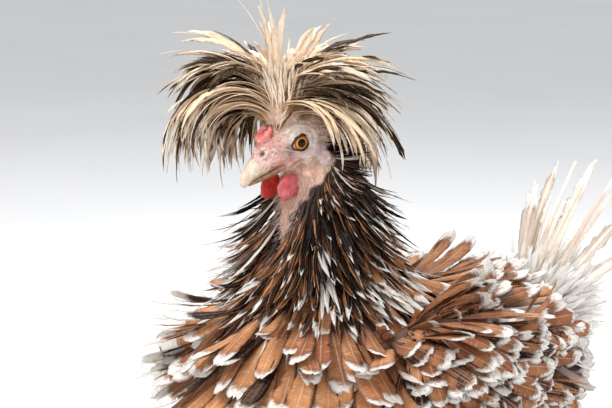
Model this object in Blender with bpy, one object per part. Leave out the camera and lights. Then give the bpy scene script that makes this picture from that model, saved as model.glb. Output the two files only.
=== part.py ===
"""A life-size frizzle-feathered Polish hen, standing on her own two feet.

Units are metres, +Z is up and the hen faces -Y, so her left side is +X.
"""
import math
import random
from collections import namedtuple

import bmesh
import bpy
from mathutils import Matrix, Vector
from mathutils.bvhtree import BVHTree

MM = 0.001
GAP = 0.3 * MM
UP = Vector((0, 0, 1))
BACKWARD = Vector((0, 1, 0))

# Driving dimensions of the body
BREAST_FRONT_Y = -138 * MM
TAIL_HEAD_Y = 112 * MM
BODY_HALF_WIDTH = 78 * MM
BODY_MID_Z = 158 * MM
BODY_RISE = 60 * MM
BODY_DROP = 62 * MM

# Driving dimensions of the head, whose frame has its origin midway between the eyes
EYES_MID = Vector((0, -100, 320)) * MM
HEAD_PITCH = math.radians(26)
EYE_RADIUS = 6.6 * MM
EYE_OUT = 10.6 * MM
LID_OPENING = 4.7 * MM
KNOB_FORWARD = -5 * MM
KNOB_UP = 19 * MM
KNOB_RADII = (14.5 * MM, 15 * MM, 13 * MM)

# Driving dimensions of the legs
STANCE_HALF = 38 * MM
ANKLE_Y = -8 * MM
HOCK = Vector((38, 16, 84)) * MM
SHANK_RADIUS = 5.4 * MM
TOE_LENGTHS = {"inner": 43 * MM, "middle": 56 * MM, "outer": 44 * MM, "hind": 22 * MM}
TOE_ANGLES = {"inner": -34, "middle": 2, "outer": 38, "hind": 172}
TOE_RADIUS = 4.2 * MM
CLAW_LENGTH = 11 * MM


def clear_scene():
    for thing in list(bpy.data.objects):
        bpy.data.objects.remove(thing)


def collection(name):
    made = bpy.data.collections.new(name)
    bpy.context.scene.collection.children.link(made)
    return made


def finish(name, colour, roughness):
    """A Principled material of one colour."""
    made = bpy.data.materials.new(name)
    made.use_nodes = True
    shader = made.node_tree.nodes["Principled BSDF"]
    shader.inputs["Base Color"].default_value = (*colour, 1)
    shader.inputs["Roughness"].default_value = roughness
    shader.inputs["Metallic"].default_value = 0
    return made


def place_mesh(name, points, faces, home, material=None):
    """A closed mesh object from points and faces, with every face turned outwards."""
    shape = bmesh.new()
    corners = [shape.verts.new(p) for p in points]
    for face in faces:
        shape.faces.new([corners[i] for i in face])
    bmesh.ops.triangulate(shape, faces=shape.faces, quad_method="FIXED")
    bmesh.ops.recalc_face_normals(shape, faces=shape.faces)
    mesh = bpy.data.meshes.new(name)
    shape.to_mesh(mesh)
    shape.free()
    thing = bpy.data.objects.new(name, mesh)
    home.objects.link(thing)
    if material:
        mesh.materials.append(material)
    return thing


def smoothed(values, times, at):
    """The value at one parameter on the Catmull-Rom curve through values given at times."""
    last = len(times) - 1
    k = max(i for i in range(last) if times[i] <= at or i == 0)
    span = times[k + 1] - times[k]
    t = (at - times[k]) / span
    before, after = values[max(k - 1, 0)], values[min(k + 2, last)]
    gap_before = times[k + 1] - times[max(k - 1, 0)]
    gap_after = times[min(k + 2, last)] - times[k]
    slope_in = (values[k + 1] - before) / gap_before * span
    slope_out = (after - values[k]) / gap_after * span
    return (
        values[k] * (2 * t**3 - 3 * t**2 + 1)
        + slope_in * (t**3 - 2 * t**2 + t)
        + values[k + 1] * (3 * t**2 - 2 * t**3)
        + slope_out * (t**3 - t**2)
    )


def loft(name, centres, sizes, up_hint, sides, home, material=None, extra=0.0, caps=(0.4, 0.4)):
    """A closed form with an oval section at each centre, square to the line through them.

    A size is (half width, rise, drop). extra grows the whole form, and caps gives how far
    each end's point stands out, as a share of its end section's half width.
    """
    points, last = [], len(centres) - 1
    heads = []
    for i, (centre, (width, rise, drop)) in enumerate(zip(centres, sizes)):
        ahead = (centres[min(i + 1, last)] - centres[max(i - 1, 0)]).normalized()
        up = (up_hint - ahead * up_hint.dot(ahead)).normalized()
        side = ahead.cross(up)
        heads.append(ahead)
        for k in range(sides):
            turn = 2 * math.pi * k / sides
            height = rise if math.sin(turn) > 0 else drop
            points.append(
                centre
                + side * (width + extra) * math.cos(turn)
                + up * (height + extra) * math.sin(turn)
            )
    points.append(centres[0] - heads[0] * (sizes[0][0] * caps[0] + extra))
    points.append(centres[-1] + heads[-1] * (sizes[-1][0] * caps[1] + extra))
    faces = []
    for i in range(last):
        for k in range(sides):
            a, b = i * sides + k, i * sides + (k + 1) % sides
            faces.append((a, b, b + sides, a + sides))
    for k in range(sides):
        faces.append((k, (k + 1) % sides, len(points) - 2))
        faces.append((last * sides + k, last * sides + (k + 1) % sides, len(points) - 1))
    return place_mesh(name, points, faces, home, material)


def ball(name, centre, radii, home, material=None, rings=8, sides=12, turn=None):
    """An ellipsoid with its pole along local Z."""
    shape = bmesh.new()
    bmesh.ops.create_uvsphere(shape, u_segments=sides, v_segments=rings, radius=1)
    place = Matrix.Translation(centre) @ (turn or Matrix.Identity(4)) @ Matrix.Diagonal((*radii, 1))
    bmesh.ops.transform(shape, matrix=place, verts=shape.verts)
    mesh = bpy.data.meshes.new(name)
    shape.to_mesh(mesh)
    shape.free()
    thing = bpy.data.objects.new(name, mesh)
    home.objects.link(thing)
    if material:
        mesh.materials.append(material)
    return thing


def keep_largest(thing):
    """Drops every closed surface of the mesh but the one with the most volume."""
    shape = bmesh.new()
    shape.from_mesh(thing.data)
    shape.verts.ensure_lookup_table()
    left, best, most = set(shape.verts), set(), -1.0
    while left:
        island, edge = set(), [left.pop()]
        while edge:
            vert = edge.pop()
            island.add(vert)
            near = {e.other_vert(vert) for e in vert.link_edges} & left
            left -= near
            edge.extend(near)
        size = abs(sum(
            f.calc_area() * f.normal.dot(f.calc_center_median())
            for f in {f for v in island for f in v.link_faces}
        ))
        if size > most:
            best, most = island, size
    bmesh.ops.delete(shape, geom=[v for v in shape.verts if v not in best], context="VERTS")
    tidy = joined_within_planes(shape)
    closed = all(edge.is_manifold for edge in tidy.edges)
    bmesh.ops.triangulate(shape, faces=shape.faces)
    (tidy if closed else shape).to_mesh(thing.data)
    tidy.free()
    shape.free()


def joined_within_planes(shape):
    """A copy in triangles, with the faces that a Boolean split within one plane joined again first."""
    tidy = shape.copy()
    bmesh.ops.dissolve_degenerate(tidy, dist=0.002 * MM, edges=tidy.edges)
    bmesh.ops.dissolve_limit(tidy, angle_limit=math.radians(0.3), verts=tidy.verts, edges=tidy.edges)
    bmesh.ops.triangulate(tidy, faces=tidy.faces)
    return tidy


def combine(thing, tools, operation, solver="EXACT"):
    """Joins the tools to thing, or cuts them from it, in one Boolean, and removes them."""
    group = bpy.data.collections.new(thing.name + "_tools")
    bpy.context.scene.collection.children.link(group)
    for tool in tools:
        for home in list(tool.users_collection):
            home.objects.unlink(tool)
        group.objects.link(tool)
    step = thing.modifiers.new(operation.lower(), "BOOLEAN")
    step.operation = operation
    step.solver = solver
    step.operand_type = "COLLECTION"
    step.collection = group
    bpy.context.view_layer.update()
    graph = bpy.context.evaluated_depsgraph_get()
    result = bpy.data.meshes.new_from_object(thing.evaluated_get(graph))
    thing.modifiers.clear()
    thing.data = result
    for tool in list(group.objects):
        bpy.data.objects.remove(tool)
    bpy.data.collections.remove(group)
    keep_largest(thing)
    return thing


def head_point(forward, out, up):
    """A point of the head's own frame, given in metres, in the model's frame."""
    c, s = math.cos(HEAD_PITCH), math.sin(HEAD_PITCH)
    return EYES_MID + Vector((out, -c * forward - s * up, -s * forward + c * up))


HEAD_UP = head_point(0, 0, 1) - EYES_MID
HEAD_TURN = Matrix.Rotation(HEAD_PITCH, 4, "X")

# Share of the body's length, lift of the middle line in mm, and shares of width, rise and drop
TORSO_SHAPE = (
    (0.03, 16, 0.42, 0.50, 0.50),
    (0.13, 15, 0.78, 0.88, 0.86),
    (0.29, 11, 0.98, 1.00, 1.00),
    (0.47, 7, 1.00, 1.00, 1.05),
    (0.65, 7, 0.93, 0.92, 1.00),
    (0.82, 14, 0.74, 0.74, 0.80),
    (0.95, 25, 0.46, 0.48, 0.52),
)
TORSO_SIDES = 16

# Height, place along Y and radius of the neck's sections, in mm
NECK_SHAPE = (
    (192, -58, 56), (216, -66, 48), (240, -72, 38),
    (264, -75, 30), (286, -77, 24), (304, -79, 19),
)
NECK_SIDES = 14

# Reach forward of the eyes, height, half width, rise and drop of the head's sections, in mm
HEAD_SHAPE = (
    (-27, 0, 9, 9, 11),
    (-20, 1, 15, 14.5, 18),
    (-9, 2, 17, 16.5, 20),
    (1, 1, 15.2, 14.5, 17.5),
    (9, -1.5, 11.8, 11.5, 13),
    (16, -3, 8.4, 8.6, 9),
    (20, -3.5, 5.6, 5.6, 5.2),
)
HEAD_SIDES = 16

# Reach, height, half width, rise and drop of the bill's sections, in mm
UPPER_BILL_SHAPE = (
    (15, -4.4, 9.2, 12.8, 5.8),
    (21, -4.4, 8.0, 11.2, 5.4),
    (27, -4.9, 6.4, 9.1, 4.7),
    (33, -5.6, 4.9, 7.3, 3.7),
    (38.5, -6.6, 3.5, 5.3, 2.7),
    (42.5, -7.8, 2.1, 3.1, 2.1),
)
LOWER_BILL_SHAPE = (
    (13, -10.4, 8.6, 3.4, 4.8),
    (20, -10.2, 7.2, 3.2, 4.0),
    (27, -10.0, 5.6, 2.8, 3.2),
    (33, -9.8, 4.2, 2.2, 2.4),
    (37.5, -9.8, 2.6, 1.4, 1.5),
)


def torso_form(name, home, material=None, extra=0.0):
    """The egg of the trunk, from the breast to the head of the tail."""
    length = TAIL_HEAD_Y - BREAST_FRONT_Y
    centres = [
        Vector((0, BREAST_FRONT_Y + share * length, BODY_MID_Z + lift * MM))
        for share, lift, _, _, _ in TORSO_SHAPE
    ]
    sizes = [
        (wide * BODY_HALF_WIDTH, rise * BODY_RISE, drop * BODY_DROP)
        for _, _, wide, rise, drop in TORSO_SHAPE
    ]
    return loft(name, centres, sizes, UP, TORSO_SIDES, home, material, extra)


def neck_form(name, home, material=None, extra=0.0):
    centres = [Vector((0, y, z)) * MM for z, y, _ in NECK_SHAPE]
    sizes = [(r * MM, r * MM, r * MM) for _, _, r in NECK_SHAPE]
    return loft(name, centres, sizes, -BACKWARD, NECK_SIDES, home, material, extra)


def head_form(name, home, material=None, extra=0.0):
    centres = [head_point(f * MM, 0, u * MM) for f, u, _, _, _ in HEAD_SHAPE]
    sizes = [(w * MM, r * MM, d * MM) for _, _, w, r, d in HEAD_SHAPE]
    return loft(name, centres, sizes, HEAD_UP, HEAD_SIDES, home, material, extra)


def bill_form(name, shape, home, material=None, extra=0.0):
    centres = [head_point(f * MM, 0, u * MM) for f, u, _, _, _ in shape]
    sizes = [(w * MM, r * MM, d * MM) for _, _, w, r, d in shape]
    return loft(name, centres, sizes, HEAD_UP, 10, home, material, extra, caps=(0.2, 0.8))


def knob_form(name, home, material=None, extra=0.0):
    """The raised top of the skull that the crest grows from."""
    centre = head_point(KNOB_FORWARD, 0, KNOB_UP)
    radii = [r + extra for r in KNOB_RADII]
    return ball(name, centre, radii, home, material, rings=8, sides=12, turn=HEAD_TURN)


def eye_form(name, hand, home, material=None, extra=0.0):
    centre = head_point(0, hand * EYE_OUT, 0)
    facing = Matrix.Rotation(hand * math.radians(82), 4, "Y")
    radius = EYE_RADIUS + extra
    return ball(name, centre, (radius,) * 3, home, material, rings=7, sides=12, turn=facing)


WING_SHAPE = (
    (70, -80, 192, 5, 9, 9),
    (77, -66, 190, 8, 20, 20),
    (83, -36, 185, 9, 28, 28),
    (81, -4, 181, 9, 28, 28),
    (73, 28, 180, 8, 23, 23),
    (61, 54, 182, 6, 14, 14),
)


def wing_form(name, hand, home, material=None, extra=0.0):
    """The folded wing: a flat pad from the shoulder along the flank."""
    centres = [Vector((hand * x, y, z)) * MM for x, y, z, _, _, _ in WING_SHAPE]
    sizes = [(w * MM, r * MM, d * MM) for _, _, _, w, r, d in WING_SHAPE]
    return loft(name, centres, sizes, UP, 10, home, material, extra)


TAIL_SHAPE = (
    (84, 178, 26, 20, 20), (106, 186, 25, 20, 19),
    (124, 194, 19, 16, 15), (136, 200, 10, 9, 9),
)


def tail_form(name, home, material=None, extra=0.0):
    """The fleshy stump that the tail feathers grow from."""
    centres = [Vector((0, y, z)) * MM for y, z, _, _, _ in TAIL_SHAPE]
    sizes = [(w * MM, r * MM, d * MM) for _, _, w, r, d in TAIL_SHAPE]
    return loft(name, centres, sizes, UP, 12, home, material, extra)


THIGH_SHAPE = ((0.0, 28, 30, 30), (0.35, 24, 27, 27), (0.7, 14, 16, 16), (0.96, 8, 8.5, 8.5))
HIP = Vector((50, -16, 130)) * MM


def thigh_form(name, hand, home, material=None, extra=0.0):
    """The drumstick, from the hip inside the trunk's outline to the hock."""
    hip = Vector((hand * HIP.x, HIP.y, HIP.z))
    hock = Vector((hand * HOCK.x, HOCK.y, HOCK.z))
    centres = [hip.lerp(hock, share) for share, _, _, _ in THIGH_SHAPE]
    sizes = [(w * MM, r * MM, d * MM) for _, w, r, d in THIGH_SHAPE]
    return loft(name, centres, sizes, -BACKWARD, 12, home, material, extra)


def ankle(hand):
    return Vector((hand * STANCE_HALF, ANKLE_Y, 11 * MM))


def shank_form(name, hand, home, material=None, extra=0.0):
    """The scaly shank from the hock down to the ankle."""
    top = Vector((hand * HOCK.x, HOCK.y, HOCK.z)) + UP * 2 * MM
    foot = ankle(hand)
    shares = ((0.0, 1.25), (0.12, 1.3), (0.28, 0.98), (0.6, 0.9), (0.86, 0.98), (1.0, 1.15))
    centres = [top.lerp(foot, share) for share, _ in shares]
    radii = [swell * SHANK_RADIUS for _, swell in shares]
    sizes = [(0.86 * r, r, r) for r in radii]
    return loft(name, centres, sizes, -BACKWARD, 10, home, material, extra)


def toe_path(hand, toe):
    """The foot's end of a toe, its direction along the floor and its length."""
    turn = math.radians(TOE_ANGLES[toe])
    return ankle(hand), Vector((hand * math.sin(turn), -math.cos(turn), 0)), TOE_LENGTHS[toe]


def toe_form(name, hand, toe, home, extra=0.0):
    """One toe: three swellings from the ankle out to the claw, flat where it meets the floor."""
    root, along, length = toe_path(hand, toe)
    shares = ((0.0, 1.25), (0.26, 0.98), (0.4, 1.12), (0.55, 0.92), (0.7, 1.04), (0.95, 0.85))
    centres = []
    for share, swell in shares:
        height = TOE_RADIUS * (0.78 * swell + 0.9 * max(0.0, 0.3 - share))
        centres.append(Vector((root.x, root.y, 0)) + along * share * length + UP * height)
    sizes = [(swell * TOE_RADIUS * 0.95, swell * TOE_RADIUS, swell * TOE_RADIUS) for _, swell in shares]
    return loft(name, centres, sizes, UP, 6, home, None, extra, caps=(0.3, 0.6))


def claw_form(name, hand, toe, home, material):
    """A horn claw that curves down from the toe's end and stops just above the floor."""
    root, along, length = toe_path(hand, toe)
    start = Vector((root.x, root.y, 0)) + along * (length * 0.93) + UP * 4.4 * MM
    centres, sizes = [], []
    for share, radius in ((0.0, 2.3), (0.4, 1.9), (0.9, 0.7)):
        centres.append(start + along * share * CLAW_LENGTH - UP * share**2 * 3.0 * MM)
        sizes.append((radius * 0.8 * MM, radius * MM, radius * MM))
    return loft(name, centres, sizes, UP, 6, home, material, caps=(0.3, 0.6))


# A vane's outline: share of the length, share of the width, share of the thickness; the tip is a point
ROUNDED = ((0.0, 0.30, 1.0), (0.30, 0.82, 0.85), (0.68, 1.0, 0.7), (0.92, 0.62, 0.5))
POINTED = ((0.0, 0.45, 1.0), (0.32, 1.0, 0.85), (0.72, 0.72, 0.6))
ARCHED = ((0.0, 0.45, 1.0), (0.27, 0.9, 0.9), (0.55, 1.0, 0.75), (0.82, 0.7, 0.6))
STRAP = ((0.0, 0.55, 1.0), (0.45, 1.0, 0.8), (0.93, 0.75, 0.55))

Seed = namedtuple("Seed", "root along rise start end length width thick shape")


def vane(seed, grow=0.0):
    """Points and triangles of one feather that lifts from start to end degrees off its root."""
    start, end = math.radians(seed.start), math.radians(seed.end)
    side = seed.along.cross(seed.rise).normalized()
    points = []
    for share, wide, thick in seed.shape + ((1.0, 0.0, 0.0),):
        lift = start + (end - start) * share
        reach = (math.sin(lift) - math.sin(start)) / (end - start)
        climb = (math.cos(start) - math.cos(lift)) / (end - start)
        centre = seed.root + (seed.along * reach + seed.rise * climb) * seed.length
        flat = seed.rise * math.cos(lift) - seed.along * math.sin(lift)
        across = side * (wide * seed.width / 2 + grow)
        over = flat * (thick * seed.thick / 2 + grow)
        points += [centre - across + over, centre + across + over]
        points += [centre + across - over, centre - across - over]
    ahead = seed.along * math.cos(end) + seed.rise * math.sin(end)
    points = points[:-4] + [centre + ahead * grow]
    rings, tip = len(seed.shape), len(points) - 1
    faces = [(0, 3, 2), (0, 2, 1)]
    for i in range(0, 4 * (rings - 1), 4):
        a, b, c, d = i, i + 1, i + 2, i + 3
        faces += [(a, b, b + 4), (a, b + 4, a + 4), (d, c + 4, c), (d, d + 4, c + 4)]
        faces += [(b, c, c + 4), (b, c + 4, b + 4), (a, a + 4, d + 4), (a, d + 4, d)]
    last = 4 * (rings - 1)
    faces += [(last + k, last + (k + 1) % 4, tip) for k in range(4)]
    return points, faces


def tree_of(points, faces):
    return BVHTree.FromPolygons(points, faces)


def tree_of_object(thing):
    return tree_of([v.co for v in thing.data.vertices], [tuple(p.vertices) for p in thing.data.polygons])


# What each feather keeps clear of the other nodes on every side
CLEARANCE = 1.4 * GAP

# Turn in degrees, extra lift in degrees and share of the length tried for each feather in turn
TRIES = (
    (0, 0, 1.0), (14, 4, 1.0), (-14, 4, 1.0), (0, 12, 0.95), (26, 10, 0.9), (-26, 10, 0.9),
    (0, 22, 0.8), (36, 18, 0.75), (-36, 18, 0.75), (0, 0, 0.6), (0, 30, 0.6),
)


class Plumage:
    """One node that carries feathers: its core, its feathers and the space they take."""

    def __init__(self, core, seed_number):
        self.core = core
        self.rng = random.Random(seed_number)
        self.vanes = []

    def varied(self, value, share):
        return value * (1 + self.rng.uniform(-share, share))

    def tree(self):
        points = [v.co.copy() for v in self.core.data.vertices]
        faces = [tuple(p.vertices) for p in self.core.data.polygons]
        for vane_points, vane_faces in self.vanes:
            first = len(points)
            points += vane_points
            faces += [tuple(first + i for i in face) for face in vane_faces]
        return tree_of(points, faces)

    def grow(self, seeds, others):
        """Keeps each feather in the first of its turns that stays clear of the other nodes."""
        for seed in seeds:
            for turn, lift, share in TRIES:
                along = Matrix.Rotation(math.radians(turn), 3, seed.rise) @ seed.along
                start, end = seed.start + lift * 0.5, seed.end + lift
                tried = seed._replace(along=along, start=start, end=end, length=seed.length * share)
                space = tree_of(*vane(tried, grow=CLEARANCE))
                if not any(space.overlap(other) for other in others):
                    self.vanes.append(vane(tried))
                    break

    def join(self, home):
        tools = [place_mesh("vane", points, faces, home) for points, faces in self.vanes]
        combine(self.core, tools, "UNION", "MANIFOLD")


def bearing(degrees):
    """The level direction at a bearing, where 0 is ahead of the hen and 90 is to her left."""
    turn = math.radians(degrees)
    return Vector((math.sin(turn), -math.cos(turn), 0))


def over_surface(along, normal):
    """The part of a direction that lies along a surface with this normal."""
    return (along - normal * along.dot(normal)).normalized()


# Polar angle, count, start and end angle off the vertical, length and width in mm, bare bearings
CREST_TIERS = (
    (9, 4, 4, 38, 62, 7.0, None),
    (16, 6, 8, 74, 58, 7.5, None),
    (30, 10, 18, 108, 62, 8.5, None),
    (48, 13, 34, 138, 66, 9.0, (-22, 38)),
    (68, 15, 52, 160, 70, 9.0, (-28, 72)),
    (88, 14, 70, 176, 78, 8.5, (-36, 100)),
)


# How far back the feathers beside her left eye turn, in degrees
SWEEP = 24


def crest_seeds(plumage):
    """The fountain: feathers rise from the knob and fall over on all sides but the face.

    Beside her left eye they sweep back by SWEEP degrees, and on her right the lower tiers hang.
    """
    rng = plumage.rng
    centre = head_point(KNOB_FORWARD, 0, KNOB_UP)
    surface = tree_of_object(plumage.core)
    seeds = []
    for tier, (polar, count, start, end, length, width, bare) in enumerate(CREST_TIERS):
        for k in range(count):
            toward = 360 * (k + 0.5 * (tier % 2)) / count + rng.uniform(-7, 7)
            signed = (toward + 180) % 360 - 180
            if bare and bare[0] < signed < bare[1]:
                continue
            theta = math.radians(polar + rng.uniform(-4, 4))
            out = UP * math.cos(theta) + bearing(toward) * math.sin(theta)
            hit = surface.ray_cast(centre, out)[0]
            sweep = SWEEP * max(0.0, 1 - abs(signed - 95) / 60) if tier > 2 else 0
            droop = max(0.0, 1 - abs(signed + 90) / 70) * max(0, tier - 3)
            seeds.append(Seed(
                root=hit - out * 3 * MM,
                along=bearing(toward + sweep),
                rise=UP,
                start=90 - start - 9 * droop + rng.uniform(-6, 6),
                end=90 - end + rng.uniform(-10, 10),
                length=plumage.varied(length * (1 + 0.1 * droop) * MM, 0.13),
                width=plumage.varied(width * MM, 0.15),
                thick=1.7 * MM,
                shape=ARCHED,
            ))
    return seeds


# Height in mm, count, first bare bearing either side of the front, length and width in mm
HACKLE_ROWS = (
    (298, 8, 80, 58, 6.0),
    (283, 11, 42, 60, 6.4),
    (266, 12, 24, 60, 6.8),
    (248, 12, 0, 60, 7.4),
    (230, 12, 0, 58, 8.2),
    (210, 12, 0, 56, 9.4),
)


def hackle_seeds(plumage):
    """Narrow neck feathers in rows, lying down the neck and curling away from it."""
    rng = plumage.rng
    surface = tree_of_object(plumage.core)
    heights = [z for z, _, _ in NECK_SHAPE]
    middles = [y for _, y, _ in NECK_SHAPE]
    seeds = []
    for row, (height, count, bare, length, width) in enumerate(HACKLE_ROWS):
        middle = Vector((0, smoothed(middles, heights, height), height)) * MM
        below = Vector((0, smoothed(middles, heights, max(height - 14, 192)), height - 14)) * MM
        down = (below - middle).normalized()
        for k in range(count):
            toward = 180 + (k - (count - 1) / 2) * (360 - 2 * bare) / count + rng.uniform(-5, 5)
            out = bearing(toward)
            hit = surface.ray_cast(middle, out)[0]
            if hit is None:
                continue
            seeds.append(Seed(
                root=hit - out * 2.5 * MM,
                along=over_surface(down, out),
                rise=out,
                start=24 + rng.uniform(-4, 4),
                end=74 + rng.uniform(-12, 12),
                length=plumage.varied(length * MM, 0.12),
                width=plumage.varied(width * MM, 0.12),
                thick=1.5 * MM,
                shape=POINTED,
            ))
    return seeds


# Place along Y in mm, count round the trunk, length and width in mm, lift of the tip in degrees
TORSO_ROWS = (
    (-132, 6, 62, 18, 66),
    (-115, 10, 72, 19, 70),
    (-92, 13, 82, 19, 70),
    (-66, 13, 78, 19, 68),
    (-40, 13, 66, 19, 66),
    (-12, 13, 54, 19, 64),
    (16, 12, 50, 19.5, 64),
    (42, 11, 48, 19.5, 64),
    (66, 11, 46, 18, 66),
    (86, 8, 42, 18, 66),
    (100, 5, 38, 17, 60),
)
NECK_BASE = Vector((0, -66, 205)) * MM


def torso_seeds(plumage, covers):
    """Broad body feathers in rows round the trunk, lying away from the neck and curling out."""
    rng = plumage.rng
    surface = tree_of_object(plumage.core)
    shares = [share for share, _, _, _, _ in TORSO_SHAPE]
    lifts = [lift for _, lift, _, _, _ in TORSO_SHAPE]
    seeds = []
    for row, (y, count, length, width, end) in enumerate(TORSO_ROWS):
        share = (y * MM - BREAST_FRONT_Y) / (TAIL_HEAD_Y - BREAST_FRONT_Y)
        lift = smoothed(lifts, shares, min(max(share, shares[0]), shares[-1]))
        middle = Vector((0, y * MM, BODY_MID_Z + lift * MM))
        for k in range(count):
            turn = 2 * math.pi * (k + 0.5 * (row % 2)) / count + rng.uniform(-0.07, 0.07)
            out = Vector((math.sin(turn), rng.uniform(-0.08, 0.08), math.cos(turn))).normalized()
            hit, normal = surface.ray_cast(middle, out)[:2]
            normal = (normal + out).normalized()
            if any(cover.ray_cast(hit + normal * MM, normal, 16 * MM)[0] for cover in covers):
                continue
            seeds.append(Seed(
                root=hit - normal * 2.5 * MM,
                along=over_surface(hit - NECK_BASE, normal),
                rise=normal,
                start=18 + rng.uniform(-4, 4),
                end=end + rng.uniform(-10, 10),
                length=plumage.varied(length * MM, 0.1),
                width=plumage.varied(width * MM, 0.1),
                thick=1.5 * MM,
                shape=ROUNDED,
            ))
    return seeds


# Place along Y and heights in mm, length and width in mm, dip below the level and lift of the tip
WING_ROWS = (
    (-64, (199, 184), 42, 15, 30, 56),
    (-44, (206, 192, 177, 164), 46, 16, 28, 54),
    (-20, (206, 191, 175, 161), 46, 17, 26, 54),
    (4, (203, 189, 174, 160), 46, 16, 24, 52),
    (26, (198, 185, 171), 48, 14, 20, 46),
    (42, (193, 181, 171), 54, 12, 14, 34),
)


def wing_seeds(plumage, hand):
    """Rows of coverts over the folded wing, and the flight feathers at its rear."""
    rng = plumage.rng
    surface = tree_of_object(plumage.core)
    seeds = []
    for y, heights, length, width, dip, end in WING_ROWS:
        for z in heights:
            outside = Vector((hand * 200, y + rng.uniform(-4, 4), z + rng.uniform(-3, 3))) * MM
            hit = surface.ray_cast(outside, Vector((-hand, 0, 0)))[0]
            if hit is None:
                continue
            out = Vector((hand, 0, (z - 178) * 0.016)).normalized()
            slope = math.radians(dip + (178 - z) * 0.5 + rng.uniform(-7, 7))
            seeds.append(Seed(
                root=hit - out * 2.2 * MM,
                along=over_surface(Vector((0, math.cos(slope), -math.sin(slope))), out),
                rise=out,
                start=14 + rng.uniform(-4, 4),
                end=end + rng.uniform(-8, 8),
                length=plumage.varied(length * MM, 0.08),
                width=plumage.varied(width * MM, 0.1),
                thick=1.5 * MM,
                shape=ROUNDED,
            ))
    return seeds


# Angle above the level, splay to the side and length in mm of each pair of main tail feathers
TAIL_PAIRS = (
    (73, 5, 72), (69, 13, 84), (65, 4, 100), (60, 14, 98),
    (54, 6, 96), (46, 15, 88), (39, 7, 78), (33, 17, 66),
)
TAIL_ROOT = Vector((0, 113, 195)) * MM


def tail_seeds(plumage):
    """The fan of frayed straps, and short broad coverts round its foot."""
    rng = plumage.rng
    surface = tree_of_object(plumage.core)
    seeds = []
    for pair, (climb, splay, length) in enumerate(TAIL_PAIRS):
        for hand in (-1, 1):
            height = math.radians(climb + rng.uniform(-2, 2))
            level = bearing(180 - hand * (2.2 * splay + rng.uniform(-2, 2)))
            along = (level * math.cos(height) + UP * math.sin(height)).normalized()
            back = over_surface(BACKWARD, along)
            row = 4 - pair
            offset = Vector((hand * (2.5 + splay * 0.55), row * -2.4, row))
            root = TAIL_ROOT + offset * MM
            seeds.append(Seed(
                root=root,
                along=along,
                rise=back,
                start=-3,
                end=10 + rng.uniform(-4, 6),
                length=plumage.varied((length + 8) * MM, 0.05),
                width=plumage.varied(6.5 * MM, 0.15),
                thick=2.0 * MM,
                shape=STRAP,
            ))
    axis = Vector((0, 0.85, 0.53))
    for row, (place, count, length) in enumerate(((0.25, 9, 44), (0.8, 8, 36))):
        middle = Vector((0, 100, 184)) * MM + axis * place * 28 * MM
        for k in range(count):
            turn = 2 * math.pi * (k + 0.5 * row) / count + rng.uniform(-0.1, 0.1)
            out = Vector((math.sin(turn), -0.53 * math.cos(turn), 0.85 * math.cos(turn)))
            out.normalize()
            hit = surface.ray_cast(middle, out)[0]
            if hit is None:
                continue
            seeds.append(Seed(
                root=hit - out * 2.5 * MM,
                along=over_surface(axis, out),
                rise=out,
                start=18 + rng.uniform(-5, 5),
                end=62 + rng.uniform(-12, 12),
                length=plumage.varied(length * MM, 0.12),
                width=plumage.varied(14 * MM, 0.12),
                thick=1.5 * MM,
                shape=ROUNDED,
            ))
    return seeds


def thigh_seeds(plumage, hand):
    """Feathers round the drumstick, lying down towards the hock."""
    rng = plumage.rng
    surface = tree_of_object(plumage.core)
    hip = Vector((hand * HIP.x, HIP.y, HIP.z))
    hock = Vector((hand * HOCK.x, HOCK.y, HOCK.z))
    down = (hock - hip).normalized()
    seeds = []
    for row, (share, count, length) in enumerate(((0.3, 9, 34), (0.6, 8, 30))):
        middle = hip.lerp(hock, share)
        for k in range(count):
            out = over_surface(bearing(360 * (k + 0.5 * row) / count + rng.uniform(-8, 8)), down)
            hit = surface.ray_cast(middle, out)[0]
            if hit is None:
                continue
            seeds.append(Seed(
                root=hit - out * 2.5 * MM,
                along=down,
                rise=out,
                start=12 + rng.uniform(-4, 4),
                end=46 + rng.uniform(-10, 10),
                length=plumage.varied(length * MM, 0.1),
                width=plumage.varied(13 * MM, 0.1),
                thick=1.5 * MM,
                shape=ROUNDED,
            ))
    return seeds


def rod(name, centre, axis, radius, length, home, sides=14):
    """A straight round cutter."""
    shape = bmesh.new()
    bmesh.ops.create_cone(
        shape, cap_ends=True, segments=sides, radius1=radius, radius2=radius, depth=length
    )
    turn = UP.rotation_difference(axis).to_matrix().to_4x4()
    bmesh.ops.transform(shape, matrix=Matrix.Translation(centre) @ turn, verts=shape.verts)
    mesh = bpy.data.meshes.new(name)
    shape.to_mesh(mesh)
    shape.free()
    thing = bpy.data.objects.new(name, mesh)
    home.objects.link(thing)
    return thing


def block(name, centre, size, turn, home):
    """A box, turned about its centre."""
    shape = bmesh.new()
    bmesh.ops.create_cube(shape, size=1)
    place = Matrix.Translation(centre) @ turn @ Matrix.Diagonal((*size, 1))
    bmesh.ops.transform(shape, matrix=place, verts=shape.verts)
    mesh = bpy.data.meshes.new(name)
    shape.to_mesh(mesh)
    shape.free()
    thing = bpy.data.objects.new(name, mesh)
    home.objects.link(thing)
    return thing


HANDS = ((1, "left"), (-1, "right"))


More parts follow.
